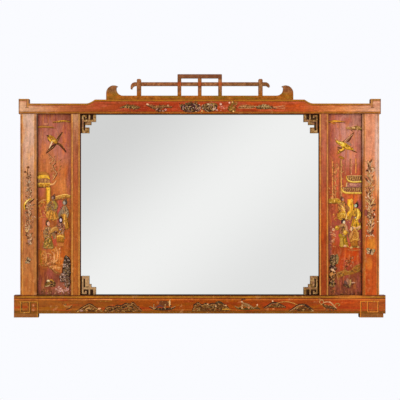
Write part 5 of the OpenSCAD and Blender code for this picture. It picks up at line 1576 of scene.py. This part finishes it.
strand.stroke([(60, 40), (72, 43), (84, 38)], [5, 8, 4], (70, 52, 30), 1.6, 0.1)
for spot in ((30, 35), (60, 27), (97, 30)):
    strand.disc(spot, (6, 5), (228, 172, 118), 1.3, 0.2)
strand.stroke([(84, 15), (100, 16), (116, 15)], [3, 5, 2], (196, 136, 36), 1.2, 0.7)
boat(strand, (172, 17), 84, (120, 84, 16), (150, 106, 56), [(-15, (212, 154, 100)), (10, (196, 124, 74))])
strand.stroke([(158, 40), (174, 34), (190, 26), (200, 19)], [4, 8, 7, 3], (156, 116, 70))
strand.disc((156, 44), (7, 7), (236, 188, 140), 1.6, 0.1)
strand.stroke([(152, 50), (160, 53), (168, 53)], [3, 5, 2], (84, 34, 20), 1.4, 0.1)
strand.disc((213, 32), (6, 7), (232, 180, 130), 1.6, 0.1)
strand.stroke([(208, 17), (214, 20), (222, 17)], [4, 8, 4], (84, 54, 20), 1.3, 0.2)
hills(strand, [(238, 22), (252, 31), (266, 40), (284, 41), (300, 34), (316, 26)], 22, (150, 104, 66), 89)
strand.disc((270, 46), (7, 6), (232, 178, 126), 1.4, 0.1)
strand.disc((273, 17), (9, 6), (214, 128, 70), 1.4, 0.2)
strand.stroke(
    [(286, 38), (304, 43), (322, 44), (342, 40), (362, 32)], [2, 3.5, 4, 4, 3], (206, 142, 64), 1.5, 0.6,
)
hills(
    strand, [(332, 12), (350, 24), (362, 31), (374, 35), (388, 34), (402, 28), (420, 14)], 8,
    (200, 146, 92), 97,
)
strand.stroke([(384, 33), (396, 27), (412, 17)], [3, 6, 2], (60, 30, 16), 1.2, 0.1)
strand.stroke(
    [(444, 40), (446, 49), (454, 50), (459, 43), (454, 35), (447, 36)], 3.4, (200, 146, 82), 1.6, 0.5,
)
strand.stroke(
    [(456, 34), (468, 26), (482, 24), (496, 20), (506, 14)], [5, 11, 12, 8, 3], (86, 52, 24), 2.0,
)
strand.stroke(
    [(458, 40), (468, 43), (482, 42), (492, 34), (500, 25), (508, 19)], [3, 4, 5, 5, 4, 2], (228, 164, 108),
    1.4, 0.4,
)
strand.stroke([(500, 28), (504, 36), (512, 38), (518, 33), (513, 28)], 3.2, (180, 128, 60), 1.5, 0.5)
for x in (472, 484, 496):
    strand.stroke([(x, 22), (x - 3, 13), (x + 2, 9)], [4, 3, 2], (110, 66, 34), 1.2, 0.2)
flecks(strand, [(458, 30), (500, 24)], 5, 24, (DARK, TAN, OLIVE), 101, 3)
# Square gold keys on the end blocks
outer = [(-600.5, 1 - FOOT_HIGH), (-600.5, 43.4), (-668, 43.4)]
inner = [(-663.5, 42), (-663.5, 4), (-630, 4), (-630, 42)]
# Each gold key line has a dark copy painted just below and to its right as its shadow.
for path in (outer, inner):
    strand.line([(x + 2.6, z - 2.4) for x, z in path], 2.2, (96, 56, 14), 0.1, smooth=False)
    strand.line(path, 3.4, (182, 120, 36), 0.5, smooth=False)
for path in (
    [(-625, 40), (-625, 8)], [(-606, 40), (-606, 8)], [(-658, 38), (-658, 9), (-635, 9), (-635, 38)],
):
    strand.line(path, 2.4, (112, 62, 14), 0.1, smooth=False)
for z in (30, 13):
    strand.disc((-616, z), (8, 10), (206, 122, 74), 0.7, 0.1)
outer = [(596, 1 - FOOT_HIGH), (596, 45.4), (662, 45.4)]
inner = [(621, 43), (621, 6.5), (659, 6.5), (659, 43)]
# Each gold key line has a dark copy painted just below and to its right as its shadow.
for path, tone in ((outer, (222, 134, 36)), (inner, (208, 124, 40))):
    strand.line([(x + 2.8, z - 2.4) for x, z in path], 2.2, (120, 58, 20), 0.1, smooth=False)
    strand.line(path, 3.2, tone, 0.5, smooth=False)
strand.piece("bottom_rail_ornament", (-RAIL_X, FOOT_Z), RAIL_FACE, "bottom_rail_relief")

# Mirror plate: silvered glass with a grey painted back, held in the frame's rebate by small blocks.
# Its front has a thin haze, a few specks, and a dark margin painted along its edges as the shade and
# reflection of the rebate.
plate_finish, place = begin("silvered_glass")
x, _, z = place.parts()
front, _ = facing(place)
haze = place.noise(5.0, 3.0)
speck = place.noise(420.0, 2.0).rise(0.74, 0.8) * 0.2
colour = front.over((86, 92, 84), (250, 251, 250))
colour = (speck * front).over(colour, (170, 168, 160))
# A dark margin along the edges of the opening, painted as the shade and reflection of the rebate.
painted_edge_shade = (
    abs(x).rise(SIGHT_X - 0.0016, SIGHT_X - 0.0008) + abs(z).rise(SIGHT_Z - 0.0032, SIGHT_Z - 0.002)
) * front
colour = (0.85 * painted_edge_shade.held()).over(colour, (66, 56, 40))
end(plate_finish, colour, 0.5 - 0.485 * front + 0.006 * haze, metallic=front)
dress(plate_finish, "mirror_glass")

# Corner frets: key-pattern brackets cut from thin wood and set into the corners of the opening, in
# front of the plate, with dull gilt bars that stand up from a near-black ground, which is painted
# shade between the bars.
fret_finish, place = begin("fret_gilding")
x, y, z = place.parts()
front, _ = facing(place)
bar = (-y).rise(0.0248, 0.0254)
worn = place.noise(130.0, 4.0, 0.65)
gilded = worn.ramp((0.3, 88, 56, 20), (0.5, 146, 104, 52), (0.68, 206, 166, 112))
# The ground between and behind the bars is painted near black as shade.
painted_shade_ground = worn.ramp((0.35, 40, 16, 4), (0.7, 74, 40, 14))
rosy = place.noise(90.0, 2.0).rise(0.5, 0.64) * 0.5
gilded = rosy.over(gilded, (150, 96, 80))
gilded = (0.4 * (x.rise(0, -0.3) * z.rise(0, -0.2))).over(gilded, (214, 172, 124))
colour = bar.over(painted_shade_ground, gilded)
colour = front.over(worn.ramp((0.3, 58, 34, 12), (0.7, 96, 62, 26)), colour)
end(fret_finish, colour, 0.6, worn, 0.0004, 0.35 * (bar * front), gloss=0.1)
dress(fret_finish, "upper_left_fret", "upper_right_fret", "lower_left_fret", "lower_right_fret")

# Crest, sawn from thin board and lapped at its crossings. Its ochre-brown lacquer is worn and cracked,
# duller on the higher bars and painted dark along every edge as shade, and the three crossings in the
# middle are touched in with red.
crest_finish, place = begin("crest_lacquer")
x, _, z = place.parts()
front, behind = facing(place)
worn = place.noise(60.0, 5.0, 0.65)
colour = worn.ramp(
    (0.3, 120, 62, 8), (0.45, 156, 84, 14), (0.58, 178, 100, 24), (0.75, 204, 136, 56)
)
colour = blotched(place, colour, (126, 96, 16), 0.6, 26.0, (0.4, 1, 1.6), 0.5, 0.64)
dull = worn.ramp((0.35, 104, 56, 34), (0.5, 134, 84, 54), (0.66, 176, 122, 84))
colour = (0.7 * z.rise(0.405, 0.425)).over(colour, dull)
colour = (0.6 * z.rise(0.4675, 0.4695)).over(colour, (116, 66, 44))
POST_X, POST_HALF, SOFT = 0.0755, 0.007, 0.0012
crossing = z.within(0.4405, 0.454, SOFT)
middle_post = abs(x).within(-POST_HALF, POST_HALF, SOFT)
side_posts = abs(abs(x) - POST_X).within(-POST_HALF, POST_HALF, SOFT)
red = worn.ramp((0.3, 168, 66, 20), (0.7, 192, 84, 30))
colour = (0.75 * crossing * (middle_post + side_posts) * front).over(colour, red)
# Every edge, found with a rounded normal, is painted dark as shade.
rounded = place.node("Bevel", {"samples": 4}, {"Radius": 0.0035})
flat = place.node("NewGeometry", give="Normal")
arris = place.node("VectorMath", {"operation": "DOT_PRODUCT"}, {0: rounded, 1: flat}, give="Value")
colour = (0.7 * arris.rise(0.995, 0.9)).over(colour, (84, 52, 22))
colour = front.over(worn.ramp((0.3, 84, 48, 24), (0.7, 124, 74, 38)), colour)
streak = place.noise(20.0, 5.0, 0.6, (1, 10, 10))
colour = behind.over(colour, streak.ramp(*BARE_WOOD))
net = cracks(place) * front
colour = (net * 0.3).over(colour, (50, 24, 12))
end(crest_finish, colour, 0.42 + 0.2 * worn, worn - net * 0.4, 0.0005, gloss=0.08)
dress(
    crest_finish, "crest_base", "crest_rail", "left_end_post", "right_end_post", "left_box_post",
    "centre_box_post", "right_box_post", "crest_cap_bar",
)

# Back: three pine boards with streaks of grain and dust, softwood blocks and dowels, and the ends of
# the pegs that lock the frame's joints.
pine_finish, place = begin("old_pine")
_, _, z = place.parts()
grain = place.noise(9.0, 6.0, 0.6, (1, 3, 12))
streak = place.noise(26.0, 5.0, 0.6, (0.4, 1, 9))
colour = (0.5 * grain + 0.5 * streak).ramp(
    (0.3, 146, 110, 72), (0.5, 176, 138, 94), (0.7, 200, 166, 120)
)
BOARD_JOINT = 0.12
colour = (0.3 * z.rise(BOARD_JOINT - 0.0001, BOARD_JOINT + 0.0001)).over(colour, (150, 108, 66))
colour = (0.3 * (-z).rise(BOARD_JOINT - 0.0001, BOARD_JOINT + 0.0001)).over(colour, (196, 168, 128))
colour = (0.8 * abs(abs(z) - BOARD_JOINT).rise(0.002, 0.0006)).over(colour, (70, 48, 30))
dust = place.noise(5.0, 4.0).rise(0.45, 0.75) * 0.5
colour = dust.over(colour, (126, 104, 80))
end(pine_finish, colour, 0.75, grain, 0.0006)
dress(
    pine_finish, "upper_back_board", "middle_back_board", "lower_back_board", "glass_blocks", "crest_dowels"
)
peg_finish, place = begin("peg_wood")
end_grain = place.noise(400.0, 4.0)
colour = end_grain.ramp((0.3, 104, 70, 42), (0.7, 158, 116, 74))
end(peg_finish, colour, 0.7, end_grain, 0.0003)
dress(peg_finish, "tenon_pegs")

# Hangers and fixings: straps and D rings of dull brass with brass screws, the crest's brass pins, and
# iron screws gone brown.
brass_finish, place = begin("dull_brass")
tarnish = place.noise(70.0, 5.0, 0.65)
colour = tarnish.ramp((0.3, 142, 106, 52), (0.55, 190, 150, 82), (0.8, 222, 188, 118))
end(brass_finish, colour, 0.28 + 0.3 * tarnish, tarnish, 0.0001, 0.9)
dress(
    brass_finish, "left_hanger_strap", "right_hanger_strap", "left_hanging_ring", "right_hanging_ring",
    "hanger_screws", "crest_pins",
)
iron_finish, place = begin("browned_iron")
rust = place.noise(200.0, 5.0, 0.7)
colour = rust.ramp((0.3, 52, 44, 38), (0.55, 88, 72, 60), (0.8, 128, 86, 56))
end(iron_finish, colour, 0.45 + 0.3 * rust, rust, 0.0002, 0.75)
dress(iron_finish, "foot_screws", "back_board_screws")
